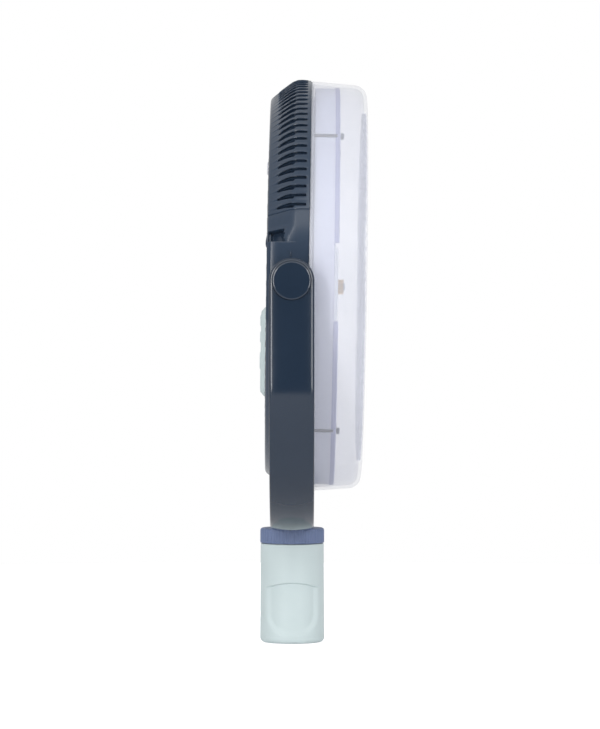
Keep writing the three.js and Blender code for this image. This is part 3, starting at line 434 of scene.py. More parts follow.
def addFloor():
    # matt pale backdrop paper that glows a little to the eye
    top, low = -studio["floorGap"], -studio["floorGap"] - 1
    reach = studio["floorRadius"]
    floor = spun("floor", [(top, 0.1), (top, reach), (low, reach), (low, 0.1)], "paleAbs", "z", 96)
    paint = bpy.data.materials.new("floorPaper")
    paint.use_nodes = True
    tree = paint.node_tree
    shader = tree.nodes["Principled BSDF"]
    shader.inputs["Base Color"].default_value = srgb(studio["floor"])
    shader.inputs["Roughness"].default_value = 0.9
    shader.inputs["Specular IOR Level"].default_value = 0.1
    shader.inputs["Emission Color"].default_value = srgb("#ffffff")
    seen = addNode(tree, "ShaderNodeLightPath").outputs["Is Camera Ray"]
    glow = addNode(
        tree, "ShaderNodeMapRange", Value=seen, To_Min=studio["floorBounce"], To_Max=studio["floorGlow"],
    )
    tree.links.new(glow.outputs[0], shader.inputs["Emission Strength"])
    floor.data.materials[0] = paint


addCamera()
addSky()
addFloor()
for lampName, lampValues in studio["lights"].items():
    addLight(lampName, *lampValues)
print("studio ready")

slotOf = {part["node"]: part["material_slot"] for part in frame["record"]["subparts"]}
finishOf = dict(
    slate_plastic="slateAbs", sage_plastic="sageAbs", collar_plastic="collarAbs", frosted_plastic="frostedPp",
    lavender_plastic="lavenderPp", pale_grey_plastic="paleAbs", bright_steel="zincSteel",
    dark_steel="blackSteel", brass="turnedBrass", copper="enamelledCopper", circuit_board="solderMask",
    cell_wrap="cellSleeve", black_rubber="nitrileRubber",
)
pieces = []


def keep(piece, body, *nodes):
    # note a finished piece with its body and the nodes it stands for
    pieces.append((piece, body, nodes))
    return piece


# The housing: a round shell with a chamfer behind, flat cheeks at the pivots and louvres over the top.
shellBox = headBox("rear_housing")
housing = {
    "radius": shellBox[1][2], "rear": shellBox[0][0], "front": shellBox[1][0],
    "cheek": 3.5, "stepHeight": 25.8, "blend": 3.0, "chamfer": 13.0, "lowChamfer": 2.5, "wall": 2.4,
    "opening": 28.0, "boss": 14.0, "bossRise": 3.35,
    "edge": 3.5, "crease": 1.8, "easeTop": 39.0, "easeLow": 27.0, "easeMiddle": 0.75,
    "louvres": 53, "pitch": 2.66, "slotRear": -10.5, "slotFront": 8.5, "slot": 1.5, "gill": 2.7,
    "hood": 0.7, "sink": 0.45,
    "pocketRear": -14.8, "pocketFront": -5.4, "pocketTop": 35.2, "pocketDepth": 7.0,
    "lapLength": 1.0, "lapDepth": 0.9,
}
louvreStart = 90 - (housing["louvres"] - 1) / 2 * housing["pitch"]


def smooth(value, low, high):
    part = min(1, max(0, (value - low) / (high - low)))
    return part * part * (3 - 2 * part)


def housingProfile(angle):
    # (x, radius) points of the outside from the rear opening to the seam, at an angle above +Y or -Y
    size = housing
    height = abs(size["radius"] * math.sin(math.radians(angle)))
    beside = abs(math.cos(math.radians(angle)))
    flat = (size["radius"] - size["cheek"]) / max(beside, 0.1)
    radius = (size["radius"] + flat - math.hypot(size["radius"] - flat, size["blend"])) / 2
    ease = 0
    if height > size["stepHeight"]:
        ease = smooth(height, size["easeLow"], size["easeTop"])
        ease = size["easeMiddle"] + (1 - size["easeMiddle"]) * ease
    low = size["lowChamfer"]
    depth = low + (size["chamfer"] - low) * ease
    length = low + (-size["rear"] - low) * ease
    corner = 1.2 + (size["edge"] - 1.2) * ease
    rear = size["rear"]
    outline = softened(
        [(rear, radius - size["opening"]), (rear, radius - depth, corner), (rear + length, radius)], 5,
    )[:-1]
    last = outline[-1].x
    for part in (0.3, 0.36, 0.43, 0.5, 0.58, 0.66, 0.74, 0.82, 0.9, 0.95, 1, 1.06):
        outline.append(Vector((max(last + 0.02 * part, rear + length * part), 0)))
    for x in (-8.4, -7.4, -6.5, -6.1, -5.7, -5.3):
        outline.append(Vector((max(outline[-1].x + 0.05, x), 0)))
    lap = size["front"] - size["lapLength"]
    for x in (2.2, 4, 6, size["slotFront"], 9.4, 10.6, lap, lap + 0.05, size["front"]):
        outline.append(Vector((x, 0)))
    for point in outline:
        if point.y == 0:
            crease = size["crease"] * (0.5 + 0.5 * ease) * (1 - smooth(point.x - rear - length, 0, 5))
            slope = radius - depth + (point.x - rear) * depth / length
            point.y = (slope + radius - math.hypot(slope - radius, crease)) / 2
        if point.x > lap + 0.01:
            point.y -= size["lapDepth"]
    return outline


def housingPoint(x, radius, angle, along=0):
    # a point of the head at an angle in degrees above +Y, moved along the round by a length
    turn = math.radians(angle) + along / radius
    return (x, radius * math.cos(turn), radius * math.sin(turn))


def louvreSheet(side):
    # one louvre: a hooded slot, its lips shaped across the chamfer; side is 1 for +Y and -1 for -Y
    size = housing
    outline = housingProfile(90)
    half = size["radius"] * math.radians(size["pitch"]) / 2
    rows = []
    openings = set()
    shapes = []
    for x, radius in outline:
        part = min(1, max(0, (x - size["slotRear"]) / -size["slotRear"]))
        inside = size["slotRear"] - 0.2 <= x <= size["slotFront"] + 0.2
        top = size["slot"] / 2 + 2.6 * part * (1 - part) - 0.5 * (1 - part) ** 2
        gap = 0.55 + (size["gill"] - 0.55) * math.sin(math.pi / 2 * part) ** 0.8
        if x > 0.3:
            gap = size["slot"]
        strength = smooth(x, size["slotRear"] - 2.5, size["slotRear"] + 1.5)
        strength *= 1 - smooth(x, size["slotFront"] - 0.6, size["slotFront"] + 0.6)
        strength *= 1 if x < 0 else 0.7
        shapes.append((x, radius, top, top - gap, strength, inside))
    for level in range(9):
        row = []
        for x, radius, top, low, strength, inside in shapes:
            scale = radius / size["radius"]
            spot, lift = [
                (-half, 0), (-half * 0.6 + low * 0.4, -0.1), (low - 0.4, -0.7), (low, -1),
                (top, 0.55), (top + 0.35, 1), (top + 1.1, 0.65), (top * 0.4 + half * 0.6, 0.15), (half, 0),
            ][level]
            height = lift * strength * (size["hood"] if lift > 0 else size["sink"])
            angle = louvreStart if side > 0 else 180 - louvreStart
            row.append(housingPoint(x, radius + height, angle, side * spot * scale))
        rows.append(row)
    for column in range(len(shapes) - 1):
        if shapes[column][5] and shapes[column + 1][5]:
            openings.add((3, column))
    name = "louvresLeft" if side > 0 else "louvresRight"
    return sheetPiece(name, rows, "slateAbs", headPlace, skip=openings), bladeSheet(shapes, side)


def bladeSheet(shapes, side):
    # the louvre's blade, which slopes in and down behind its slot; each level is (inward, down)
    angle = louvreStart if side > 0 else 180 - louvreStart
    rows = []
    for inward, down in ((1.6, -0.4), (4.5, 0.2), (8, 1.4)):
        row = []
        for x, radius, top, *_ in shapes:
            if housing["slotRear"] - 1.5 < x < housing["slotFront"] + 1:
                spot = (top - down) * radius / housing["radius"]
                row.append(housingPoint(x, radius - inward, angle, side * spot))
        rows.append(row)
    return sheetPiece("blade", rows, "slateAbs", headPlace)


def addHousing():
    size = housing
    middle = (size["louvres"] + 1) // 2
    sheets, blades = [], []
    for side, count in ((-1, middle), (1, size["louvres"] - middle)):
        sheet, blade = louvreSheet(side)
        sheets.append(repeat(sheet, count, side * size["pitch"]))
        modify(blade, "SOLIDIFY", thickness=0.9 * mm, offset=0)
        blades.append(repeat(settle(blade), count, side * size["pitch"]))
    ends = louvreStart - size["pitch"] / 2
    angles = [180 - ends]
    while angles[-1] < 360 + ends - 0.01:
        height = abs(size["radius"] * math.sin(math.radians(angles[-1])))
        step = 0.25 if 22 < height < 42 else 1.6
        angles.append(min(360 + ends, angles[-1] + step))
    edge = math.degrees(math.asin(size["stepHeight"] / size["radius"]))
    turns = (180 - edge, 180 + edge, 360 - edge, 360 + edge)
    angles = [angle for angle in angles if min(abs(angle - turn) for turn in turns) > 0.08]
    angles += [turn + shift for turn in turns for shift in (-0.02, 0.02)]
    rows = []
    for angle in sorted(angles):
        outline = housingProfile(angle)
        height = size["radius"] * math.sin(math.radians(angle))
        row = []
        for x, radius in outline:
            pocket = smooth(height, size["stepHeight"] - 0.05, size["stepHeight"] + 0.05)
            pocket *= 1 - smooth(height, size["pocketTop"] - 0.7, size["pocketTop"])
            pocket *= smooth(x, size["pocketRear"] - 0.8, size["pocketRear"])
            pocket *= 1 - smooth(x, size["pocketFront"] - 1.1, size["pocketFront"])
            row.append(housingPoint(x, radius - pocket * size["pocketDepth"], angle))
        rows.append(row)
    rest = sheetPiece("rearHousing", rows, "slateAbs", headPlace)
    for sheet in (rest, *sheets):
        faces = sheet.data.polygons
        if sum(face.area * face.normal.dot(face.center - pivotPlace) for face in faces) < 0:
            sheet.data.flip_normals()
    shell = fuse(rest, *sheets)
    made = bmesh.new()
    made.from_mesh(shell.data)
    bmesh.ops.remove_doubles(made, verts=made.verts, dist=0.03 * mm)
    made.to_mesh(shell.data)
    made.free()
    modify(shell, "SOLIDIFY", thickness=size["wall"] * mm, offset=-1)
    rounded(shell, 0.22, 2, 50, False)
    parts = []
    cheek = size["radius"] - size["cheek"]
    for sign in (-1, 1):
        high = cheek + size["bossRise"]
        parts.append(spun(
            "boss", [
                (sign * (cheek - 2), 5), (sign * (cheek - 2), size["boss"]),
                (sign * high, size["boss"] - 1.2, 1), (sign * high, 5, 0.3),
            ], "slateAbs", "y", 96, headPlace,
        ))
        tick = block("tick", (-1.2, cheek - 1, 15.7), (-0.6, cheek + 0.3, 18.8), "slateAbs", headPlace)
        if sign < 0:
            tick.data.transform(headPlace @ Matrix.Scale(-1, 4, (0, 1, 0)) @ headPlace.inverted())
            tick.data.flip_normals()
        parts.append(rounded(tick, 0.15, 2))
    shell = fuse(shell, *parts, *blades)
    shell.data.shade_smooth()
    shell.data.set_sharp_from_angle(angle=math.radians(32))
    keep(shell, "head", "rear_housing")


addHousing()
print("housing ready")

# The front guard: a drafted frosted drum with a round front corner and a fine grille.
drumBox = headBox("front_guard")
guard = {
    "start": housing["front"] + 0.3, "front": drumBox[1][0], "radius": drumBox[1][2], "draft": 4.9,
    "corner": 8.5, "wall": 2.2, "opening": 118.0, "hub": 30.0, "bars": 72, "bar": 1.5, "depth": 3.0,
    "swirl": 34.0, "ring": 74.0,
}


def barModule(name, inner, outer, low, high, width, swirl, finish):
    # one curved grille bar from an inner to an outer radius
    rows = []
    steps = 12
    for i in range(steps + 1):
        part = i / steps
        radius = inner + (outer - inner) * part
        turn = swirl * math.sin(math.pi / 2 * part)
        section = []
        for x, across in (
            (low, -0.7), (low + 0.25, -1), (high - 0.5, -1), (high, -0.45), (high, 0.45),
            (high - 0.5, 1), (low + 0.25, 1), (low, 0.7), (low, -0.7),
        ):
            section.append(housingPoint(x, radius, turn, across * width / 2))
        rows.append(section)
    return sheetPiece(name, rows, finish, headPlace)


def addGuard():
    size = guard
    end = size["radius"] - (size["front"] - size["start"]) * math.tan(math.radians(size["draft"]))
    inset, low, high = size["wall"], size["front"] - size["depth"], size["front"]
    drum = spun("frontGuard", [
        (size["start"], size["radius"] - inset, 0.3), (size["start"], size["radius"] - 0.75),
        (size["start"] - 1.1, size["radius"] - 0.75), (size["start"] - 1.1, size["radius"] - 0.1, 0.2),
        (high, end, size["corner"]), (high, size["opening"] - 1, 0.8), (low, size["opening"] - 1, 0.6),
        (high - inset, end - inset, size["corner"] - inset),
    ], "frostedPp", sides=192, place=headPlace, arc=8)
    bars = repeat(
        barModule(
            "bars", size["hub"] - 1, size["opening"] + 0.4, low, high - 0.3, size["bar"], size["swirl"],
            "frostedPp",
        ),
        size["bars"], 360 / size["bars"],
    )
    hub = spun("hub", [
        (high, 0.02), (high - 0.2, size["hub"] - 4, 6), (high - 0.9, size["hub"], 1.2),
        (low, size["hub"], 0.6), (low, size["hub"] - 2.2), (high - 2.4, size["hub"] - 4, 3),
        (high - 2.2, 0.02),
    ], "frostedPp", sides=96, place=headPlace)
    middle = spun("middleRing", [
        (low, size["ring"] - 1, 0.3), (high - 0.2, size["ring"] - 1, 0.5),
        (high - 0.2, size["ring"] + 1, 0.5), (low, size["ring"] + 1, 0.3),
    ], "frostedPp", sides=144, place=headPlace, arc=3)
    lip = spun("lip", [
        (size["start"] - 3, size["radius"] - 4.2), (size["start"] - 3, size["radius"] - 3, 0.4),
        (size["start"] + 1, size["radius"] - 2), (size["start"] + 1, size["radius"] - 4.2),
    ], "frostedPp", sides=144, place=headPlace, arc=3)
    inside = housing["radius"] - housing["cheek"] - housing["wall"] - 0.3
    flats = [
        block("flat", (-40, side * inside if side > 0 else -200, -200),
              (size["start"] - 0.2, 200 if side > 0 else -inside, 200), "frostedPp", headPlace)
        for side in (-1, 1)
    ]
    keep(fuse(drum, bars, hub, middle, carve(lip, *flats)), "head", "front_guard")


addGuard()

# Four long screws clamp the duct and guard to the housing.
screw = {
    "circle": 130.8, "height": 96.6, "rod": 1.0, "head": 2.2, "rear": -6.0, "seat": 30.6, "headHeight": 2.2,
}

# The duct inside the drum: a tube round the blades with a notched front lip.
ductBox = headBox("duct_ring")
duct = {
    "rear": ductBox[0][0], "front": ductBox[1][0], "tip": 126.4, "outer": 135.2, "wall": 2.2,
    "notch": 25.3, "notchDepth": 3.2, "slot": 1.2,
}


def addDuct():
    size = duct
    lip = size["front"] - size["notchDepth"]
    ring = spun("ductRing", [
        (size["rear"], size["tip"], 0.6), (size["rear"], size["outer"] - 0.4, 0.5),
        (size["rear"] + 1.8, size["outer"] - 0.4, 0.5), (size["rear"] + 1.8, size["tip"] + size["wall"]),
        (size["front"] - 3, size["tip"] + size["wall"], 1),
        (size["front"] - 3, size["outer"] - size["wall"], 0.8),
        (guard["start"] + 1.6, size["outer"] - size["wall"]), 
        (guard["start"] + 1.6, size["outer"] - 0.4, 0.3), (lip, size["outer"] - 0.4),
        (lip, size["outer"]),
        (size["front"], size["outer"], 1.0), (size["front"], size["tip"], 1.2),
    ], "lavenderPp", sides=192, place=headPlace, arc=4)
    inner = size["tip"] + size["wall"]
    notches = [
        block("notch", (lip + 0.1, min(side * 90, side * 200), -size["notch"]),
              (size["front"] + 2, max(side * 90, side * 200), size["notch"]), "lavenderPp", headPlace)
        for side in (-1, 1)
    ]
    beside = math.sqrt((inner + 2) ** 2 - screw["height"] ** 2)
    for y in (-200, beside):
        for z in (-screw["height"], screw["height"]):
            low = (guard["start"] + 1, y, z - size["slot"])
            high = (lip + 1.4, y + 200 - beside, z + size["slot"])
            notches.append(block("slot", low, high, "lavenderPp", headPlace))
    keep(carve(ring, *notches), "head", "duct_ring")
    # painted shade: faces in front of the lip's notch depth are set to 1 so they take the darker lavender
    lipShadeMarks = ring.data.attributes.new("deep", "FLOAT", "FACE")
    back = headPlace.inverted()
    for face in ring.data.polygons:
        lipShadeMarks.data[face.index].value = (back @ face.center).x / mm > lip


addDuct()

def addScrews():
    size = screw
    half = math.degrees(math.asin(size["height"] / size["circle"]))
    pairs = []
    for angle in (half, 180 - half):
        turn = math.radians(angle)
        place = (0, size["circle"] * math.cos(turn), size["circle"] * math.sin(turn))
        top = size["seat"] + size["headHeight"]
        shape = spun("screw", [
            (size["rear"], 0.02), (size["rear"], size["rod"], 0.4), (size["seat"], size["rod"]),
            (size["seat"], size["head"], 0.2), (top, size["head"], 0.9), (top, 1.1), (top - 1.1, 0.8),
            (top - 1.1, 0.02),
        ], "blackSteel", sides=24, place=headPlace, arc=3, shift=place)
        pairs.append(repeat(shape, 2, 180))
    screws = fuse(*pairs)
    screws.name = "guardScrews"
    keep(screws, "head", *[f"guard_screw_{k}" for k in (1, 2, 3, 4)])


addScrews()
print("guard, duct and screws ready")

# The rear grille with a solid panel behind the controls and a pad for the timer button.
grille = {
    "outer": 111.7, "rim": 100.0, "hub": 40.0, "bars": 60, "bar": 1.7, "swirl": -30.0, "ring": 70.0,
    "panel": 25.0, "pad": 9.0,
}


def plate(name, halfWidth, low, high, corner, levels, finish):
    # a round-cornered plate in the head's Y and Z, lofted through (x, inset) levels, closed at both ends
    vertices, faces = [], []
    for x, inset in levels:
        side, bottom, top = halfWidth - inset, low + inset, high - inset
        outline = softened([
            (-side, bottom, corner), (side, bottom, corner), (side, top, corner), (-side, top, corner),
        ], 8)
        count = len(outline)
        vertices += [(x, y, z) for y, z in outline]
    for i in range(len(levels) - 1):
        for j in range(count):
            a, b = i * count + j, i * count + (j + 1) % count
            faces.append((a, b, b + count, a + count))
    last = (len(levels) - 1) * count
    faces += [tuple(range(count)), tuple(range(last, last + count))]
    return makePiece(name, vertices, faces, finish, headPlace)


podBox = headBox("control_pod")
timerBox = headBox("timer_button")
pod = {
    "back": podBox[0][0], "seat": podBox[1][0], "low": podBox[0][2], "high": podBox[1][2],
    "half": podBox[1][1], "corner": 9, "gap": 0.4, "keys": {"power": 6, "slower": 4, "faster": 4},
}
timerHeight = (timerBox[0][2] + timerBox[1][2]) / 2


def addRearGrille():
    size = grille
    low, high = housing["rear"], housing["rear"] + 2.4
    bars = repeat(
        barModule(
            "rearGrille", size["hub"] - 2, size["rim"] + 2, high, low, size["bar"], size["swirl"],
            "slateAbs",
        ),
        size["bars"], 360 / size["bars"],
    )
    rim = spun("rim", [
        (low, size["rim"], 0.8), (low, size["outer"], 0.5), (high + 0.3, size["outer"]),
        (high + 0.3, size["outer"] + 3.2, 0.4), (high + 2.3, size["outer"] + 3.2, 0.4),
        (high + 2.3, size["rim"]),
    ], "slateAbs", sides=160, place=headPlace, arc=3)
    middle = spun("middle", [
        (low + 0.2, size["ring"] - 1.2, 0.5), (low + 0.2, size["ring"] + 1.2, 0.5),
        (high, size["ring"] + 1.2), (high, size["ring"] - 1.2),
    ], "slateAbs", sides=128, place=headPlace, arc=3)
    hub = spun("hub", [
        (low, 3), (low, size["hub"], 1), (high, size["hub"]), (high, 3),
    ], "slateAbs", sides=96, place=headPlace, arc=3)
    panel = plate(
        "panel", size["panel"], -size["rim"] + 8, -10, 6,
        [(high, 0), (low + 0.5, 0), (low + 0.1, 0.3), (low, 0.8)], "slateAbs",
    )
    pad = spun("pad", [
        (low, 5.0), (low, size["pad"], 0.6), (high, size["pad"]), (high, 5.0),
    ], "slateAbs", sides=64, place=headPlace, arc=3, shift=(0, 0, timerHeight))
    keep(fuse(bars, rim, middle, hub, panel, pad), "head", "rear_grille")


addRearGrille()


def addControls():
    # the pod over the panel, its three keys and the timer button
    back, seat = pod["back"], pod["seat"]
    shell = plate("controlPod", pod["half"], pod["low"], pod["high"], pod["corner"], [
        (seat, 0), (seat - 0.8, 0.05), (seat - 2, 0.9), (back + 1.2, 2), (back + 0.5, 2.6),
        (back + 0.1, 3.4), (back, 4.4),
    ], "sageAbs")
    holes = []
    for key, radius in pod["keys"].items():
        box = headBox(key + "_key")
        centre = (0, 0, (box[0][2] + box[1][2]) / 2)
        around = radius + pod["gap"]
        holes.append(spun("hole", [
            (back - 3, 0.02), (back - 3, around), (seat - 0.8, around), (seat - 0.8, 0.02),
        ], "sageAbs", sides=64, place=headPlace, shift=centre))
        cap = spun(key + "Key", [
            (box[0][0] + 0.5, 0.02), (box[0][0], radius - 1.1, 0.8), (box[0][0] + 0.3, radius, 0.6),
            (back + 2.1, radius), (back + 2.1, radius + 0.35), (back + 2.5, radius + 0.35),
            (back + 2.5, 1.5),
            (box[1][0], 1.5, 0.2), (box[1][0], 0.02),
        ], "sageAbs", sides=64, place=headPlace, arc=4, shift=centre)
        keep(cap, key, key + "_key")
    keep(carve(shell, *holes), "head", "control_pod")
    tip, base = timerBox[0][0], timerBox[1][0]
    keep(spun("timerButton", [
        (tip, 0.02), (tip, 4.5, 0.9), (base - 1, 4.5), (base - 1, 5.5, 0.2), (base, 5.5, 0.2), (base, 0.02),
    ], "paleAbs", sides=64, place=headPlace, arc=5, shift=(0, 0, timerHeight)), "timer", "timer_button")


addControls()

# The impeller: a round hub and seven twisted blades.
impeller = {
    "hub": 29.0, "rear": -7.0, "front": 31.0, "tip": 123.5, "blades": 7, "middle": 17.0, "chord": 52.0,
    "pitch": 34.0, "twist": 12.0, "camber": 4.0, "sweep": 10.0, "thickness": 2.0, "rows": 18, "across": 14,
}


def addImpeller():
    size = impeller
    hub = spun("impeller", [
        (size["rear"], size["hub"] - 2.4), (size["rear"], size["hub"], 0.6), (size["front"], size["hub"], 5),
        (size["front"], 2.8, 0.4), (size["front"] - 3, 2.8), (size["front"] - 2.4, size["hub"] - 2.4, 3),
    ], "impellerPp", sides=96, place=headPlace)
    rows = []
    for i in range(size["rows"] + 1):
        part = i / size["rows"]
        radius = size["hub"] - 1.2 + (size["tip"] - size["hub"] + 1.2) * part
        chord = size["chord"] * (0.72 + 0.5 * part - 0.2 * part ** 2)
        pitch = math.radians(size["pitch"] - size["twist"] * part)
        loop = []
        for face in (1, -1):
            for j in range(size["across"] + 1):
                across = j / size["across"] if face > 0 else 1 - j / size["across"]
                thick = size["thickness"] / 2 * (0.35 + 0.65 * math.sin(math.pi * min(1, across + 0.2)))
                rise = size["camber"] * math.sin(math.pi * across) + face * thick
                run = (across - 0.5) * chord
                arc = run * math.cos(pitch) + rise * math.sin(pitch) + size["sweep"] * part
                x = size["middle"] + run * math.sin(pitch) - rise * math.cos(pitch)
                loop.append(housingPoint(x, radius, 0, arc))
        rows.append(loop + loop[:1])
    wide = len(rows[0])
    vertices = [point for row in rows for point in row]
    faces = [
        (i * wide + j, i * wide + j + 1, (i + 1) * wide + j + 1, (i + 1) * wide + j)
        for i in range(size["rows"]) for j in range(wide - 1)
    ]
    last = 2 * size["across"]
    for base in (0, size["rows"] * wide):
        faces += [
            (base + j, base + j + 1, base + last - j, base + last + 1 - j) for j in range(size["across"])
        ]
    blades = repeat(
        makePiece("blade", vertices, faces, "impellerPp", headPlace), size["blades"], 360 / size["blades"],
    )
    keep(fuse(hub, blades), "rotor", "impeller")


addImpeller()
print("grille, controls and impeller ready")

# The yoke: one crowned strap from pivot to pivot, round at both ends, hollow from inside.
armBox = plainBox("yoke_shell")
yoke = {
    "half": (armBox[1][0] - armBox[0][0]) / 2, "bottom": armBox[0][2], "outer": armBox[1][1],
    "thickness": 11.0, "crown": 1.9, "edge": 1.2, "corner": 104.0, "channel": 7.0, "wall": 2.2,
    "cap": 12.4, "capRise": 0.9, "boss": 10.6, "bore": 8.4, "bolt": 4.4, "gap": 0.3, "liner": 1.8,
}
pivotHeight = pivotPlace.z / mm


def strapPlaces(reach):
    # y, z, way out and height past the pivot of points along the strap's inner line
    size = yoke
    inner = size["outer"] - size["thickness"]
    radius = size["corner"] - size["thickness"]
    centreY, centreZ = inner - radius, size["bottom"] + size["corner"]
    places = []
    rise = [reach * math.sin(math.radians(90 * k / 14)) for k in range(14, 0, -1)]
    places += [(-inner, pivotHeight + h, math.pi, h) for h in rise]
    places += [(-inner, pivotHeight - 3 * k, math.pi, 0) for k in range(0, 20)]
    for side, start in ((-1, math.pi), (1, 1.5 * math.pi)):
        for k in range(33):
            out = start + k / 32 * math.pi / 2
            y, z = side * centreY + radius * math.cos(out), centreZ + radius * math.sin(out)
            places.append((y, z, out, 0))
        if side < 0:
            steps = [-centreY + centreY * k / 8 for k in range(1, 16)]
            places += [(y, centreZ - radius, 1.5 * math.pi, 0) for y in steps]
    places += [(inner, pivotHeight - 3 * k, 2 * math.pi, 0) for k in range(19, -1, -1)]
    places += [(inner, pivotHeight + h, 2 * math.pi, h) for h in reversed(rise)]
    return places


def closeEnds(piece):
    # merge the narrow ends of a swept strip, cap them and turn all faces out
    made = bmesh.new()
    made.from_mesh(piece.data)
    bmesh.ops.remove_doubles(made, verts=made.verts, dist=0.02 * mm)
    bmesh.ops.holes_fill(made, edges=made.edges)
    bmesh.ops.recalc_face_normals(made, faces=made.faces)
    made.to_mesh(piece.data)
    made.free()
    return piece


def addLiner():
    # the cover that closes the strap's hollow side, cut round the pivots
    size = yoke
    half, thick = size["half"] - size["wall"] - size["gap"], size["liner"]
    rows = []
    for y, z, out, past in strapPlaces(half):
        width = math.sqrt(max(half ** 2 - past ** 2, 0.0001))
        section = [(width, 0), (width, thick), (-width, thick), (-width, 0), (width, 0)]
        rows.append([(x, y + n * math.cos(out), z + n * math.sin(out)) for x, n in section])
    cover = closeEnds(sheetPiece("yokeLiner", rows, "shadedPolishedAbs"))
    inner = size["outer"] - size["thickness"]
    around = size["boss"] + size["gap"]
    holes = [
        spun(
            "hole", [(y - 4, 0.02), (y - 4, around), (y + 4, around), (y + 4, 0.02)], "shadedPolishedAbs", "y", 64,
            shift=(0, 0, pivotHeight),
        )
        for y in (-inner, inner)
    ]
    keep(carve(cover, *holes), "yoke", "yoke_liner")


def addYoke():
    size = yoke
    half, thick = size["half"], size["thickness"]
    inner = size["outer"] - thick
    lanes = [1, 0.997, 0.986, 0.969, 0.945, 0.915, 0.85, 0.7, 0.5, 0.25]
    lanes = [-lane for lane in lanes] + [0] + lanes[::-1]
    within = half - size["wall"]
    rows = []
    for y, z, out, past in strapPlaces(half):
        width = math.sqrt(max(half ** 2 - past ** 2, 0.0001))
        hollow = math.sqrt(max(within ** 2 - past ** 2, 0.0001))
        deep = size["channel"] if past < within - 0.3 else 0
        section = []
        for lane in lanes:
            away = math.hypot(lane * width, past)
            short = size["edge"] - min(size["edge"], max(half - away, 0))
            drop = size["edge"] - math.sqrt(size["edge"] ** 2 - short ** 2)
            section.append((lane * width, thick - size["crown"] * (away / half) ** 2 - drop))
        section += [(width, 0), (hollow, 0), (hollow, deep), (-hollow, deep), (-hollow, 0), (-width, 0)]
        row = [(x, y + n * math.cos(out), z + n * math.sin(out)) for x, n in section]
        rows.append(row + row[:1])
    strap = closeEnds(sheetPiece("yokeArm", rows, "shadedPolishedAbs"))
    seat = thick - size["crown"] * (size["cap"] / half) ** 2 - 0.4
    top = thick + size["capRise"]
    cuts, bosses = [], []
    for sign in (-1, 1):
        at = lambda n: sign * (inner + n)
        cuts.append(spun("seat", [
            (at(seat), 0.02), (at(seat), size["cap"] + 0.3), (at(40), size["cap"] + 0.3), (at(40), 0.02),
        ], "shadedPolishedAbs", "y", 128, shift=(0, 0, pivotHeight)))
        bosses.append(spun("boss", [
            (at(0), size["bolt"]), (at(0), size["boss"], 0.2), (at(seat + 0.02), size["boss"]),
            (at(seat + 0.02), size["bore"]), (at(seat - 2.6), size["bore"]), (at(seat - 2.6), size["bolt"]),
        ], "shadedPolishedAbs", "y", 64, shift=(0, 0, pivotHeight)))
        cap = spun("pivotCapLeft" if sign > 0 else "pivotCapRight", [
            (at(seat + size["gap"]), 0.02), (at(seat + size["gap"]), size["cap"], 0.2),
            (at(top - 0.3), size["cap"], 0.5), (at(top), size["cap"] - 1, 0.5), (at(top), 0.02),
        ], "shadedPolishedAbs", "y", 128, arc=4, shift=(0, 0, pivotHeight))
        keep(cap, "yoke", "pivot_cap_left" if sign > 0 else "pivot_cap_right")
        cuts.append(spun("bore", [
            (at(-1), 0.02), (at(-1), size["boss"] - 0.5), (at(seat + 1), size["boss"] - 0.5),
            (at(seat + 1), 0.02),
        ], "shadedPolishedAbs", "y", 64, shift=(0, 0, pivotHeight)))
    low, high = size["bottom"] - 3, size["bottom"] + 20
    cuts.append(spun("bore", [
        (low, 0.02), (low, size["bore"]), (high, size["bore"]), (high, 0.02),
    ], "shadedPolishedAbs", "z", 64))
    strap = carve(strap, *cuts)
    keep(fuse(strap, *bosses), "yoke", "yoke_shell")


addYoke()
addLiner()

# The lock collar: fine upright ribs under a round top edge.
collarBox = plainBox("lock_collar")
collar = {
    "radius": collarBox[1][0], "low": collarBox[0][2], "high": collarBox[1][2], "bore": 12.9, "ribs": 53,
    "rib": 0.42, "topEdge": 1.8, "lowEdge": 0.7,
}


def addCollar():
    size = collar
    pitch = 360 / size["ribs"]
    low, high, radius = size["low"], size["high"], size["radius"]
    rows = []
    half = [(0.1, 0), (0.24, 0.25), (0.36, 0.85), (0.5, 1)]  # part of the pitch, depth of the groove
    for part, depth in [(-part, depth) for part, depth in half[::-1]] + half:
        groove = size["rib"] * depth
        outline = [(low, size["bore"]), (low, radius - 1.2)]
        for turn in (0, 0.5, 1.05):
            outline.append((
                low + size["lowEdge"] * (1 - math.cos(turn)), radius - size["lowEdge"] * (1 - math.sin(turn)),
            ))
        outline += [(z, radius - groove) for z in (low + 1.3, low + 2.6, (low + high) / 2, high - 2.6)]
        for turn in (0.15, 0.5, 0.9, 1.3, math.pi / 2):
            inset = size["topEdge"] * (1 - math.cos(turn)) + groove * math.cos(turn)
            outline.append((high - size["topEdge"] * (1 - math.sin(turn)), radius - inset))
        outline += [(high, size["bore"] + 0.5), (high - 0.5, size["bore"]), (low, size["bore"])]
        turn = math.radians(part * pitch)
        rows.append([(r * math.cos(turn), r * math.sin(turn), z) for z, r in outline])
    module = sheetPiece("lockCollar", rows, "collarAbs")
    ring = repeat(module, size["ribs"], pitch, axis=(0, 0, 1), centre=(0, 0, 0))
    ring.data.flip_normals()
    keep(ring, "collar", "lock_collar")


addCollar()

# The grip: a slightly tapered tube with a thumb rest pressed into both sides, and its base cap.
gripBox = plainBox("grip_shell")
capBox = plainBox("grip_base_cap")
grip = {
    "top": 21.5, "bottom": 21.9, "height": gripBox[1][2], "seam": gripBox[0][2], "wall": 2.7, "neck": 8.3,
    "roof": 5.2, "restDepth": 1.7, "restHalf": 18.6, "restLow": 4.9, "restTop": 41.6, "restDrop": 3.8,
    "restCorner": 15.0, "restFillet": 3.8, "restStep": 0.8, "capEdge": 3.2, "sides": 288, "gap": 0.3,
}


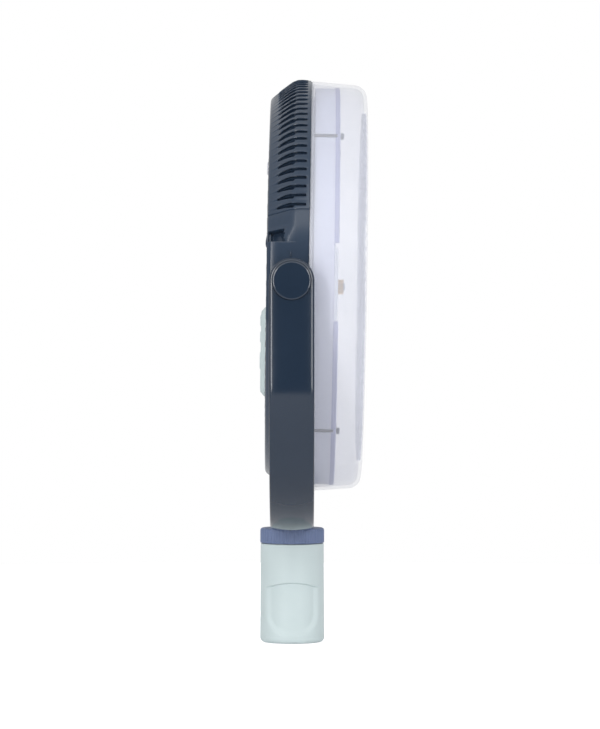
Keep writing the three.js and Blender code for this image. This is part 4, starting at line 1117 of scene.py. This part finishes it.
def restDepthAt(across, height):
    # how far the thumb rest is pressed in, from the distance along X and the height
    size = grip
    top = size["restTop"] - size["restDrop"] * (across / size["restHalf"]) ** 2
    corner = size["restCorner"]
    sideways = abs(across) - (size["restHalf"] - corner)
    down = size["restLow"] + corner - height
    if sideways > 0 or down > 0:
        edge = corner - math.hypot(max(sideways, 0), max(down, 0))
    else:
        edge = corner + min(-sideways, -down)
    upper = smooth(top - height, 0, size["restStep"])
    return size["restDepth"] * upper * smooth(edge, 0, size["restFillet"])


def addGrip():
    size = grip
    levels = [size["seam"] - 0.12]
    while levels[-1] < size["height"] - 1.4:
        fine = size["restTop"] - 5 < levels[-1] < size["restTop"] + 1
        levels.append(levels[-1] + (0.25 if fine else 0.9))
    bore = size["top"] - size["wall"]
    rows = []
    for i in range(size["sides"] + 1):
        turn = 2 * math.pi * i / size["sides"]
        wide, deep = math.cos(turn), math.sin(turn)
        outline = [(bore, size["seam"])]
        for z in levels:
            radius = size["bottom"] + (size["top"] - size["bottom"]) * z / size["height"]
            outline.append((radius - restDepthAt(radius * wide, z) * smooth(abs(deep), 0.3, 0.55), z))
        outline += [
            (size["top"], size["height"] - 0.7), (size["top"] - 0.2, size["height"] - 0.2),
            (size["top"] - 0.7, size["height"]), (size["neck"], size["height"]),
            (size["neck"], size["height"] - size["roof"]),
            (bore, size["height"] - size["roof"]), (bore, size["seam"]),
        ]
        rows.append([(r * wide, r * deep, z) for r, z in outline])
    body = sheetPiece("gripShell", rows, "sageAbs")
    low, high = plainBox("charge_socket")
    gap = size["gap"]
    hole = block("hole", (-30, low[1] - gap, low[2] - gap), (0, high[1] + gap, high[2] + gap), "sageAbs")
    rounded(hole, 1.2, 4, 80)
    settle(hole)
    body.data.flip_normals()
    keep(carve(body, hole), "grip", "grip_shell")
    inner = bore - gap
    keep(spun("gripBaseCap", [
        (0, 0.02), (0, size["bottom"], size["capEdge"]), (size["seam"] - 0.15, size["bottom"], 0.05),
        (size["seam"] - 0.15, inner), (capBox[1][2], inner, 0.3), (capBox[1][2], inner - 2, 0.3),
        (size["seam"] - 0.3, inner - 2), (size["seam"] - 0.3, 0.02),
    ], "sageAbs", "z", 192, arc=8), "grip", "grip_base_cap")


addGrip()
print("yoke, collar and grip ready")

for piece, body, nodes in pieces:
    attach(piece, body)
    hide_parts(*nodes)
replaced = {node for _, _, nodes in pieces for node in nodes}
for name, node in frame["nodes"].items():
    if name not in replaced:
        for slot in node.material_slots:
            slot.material = materials[finishOf[slotOf[name]]]

print("pieces:", len(pieces))
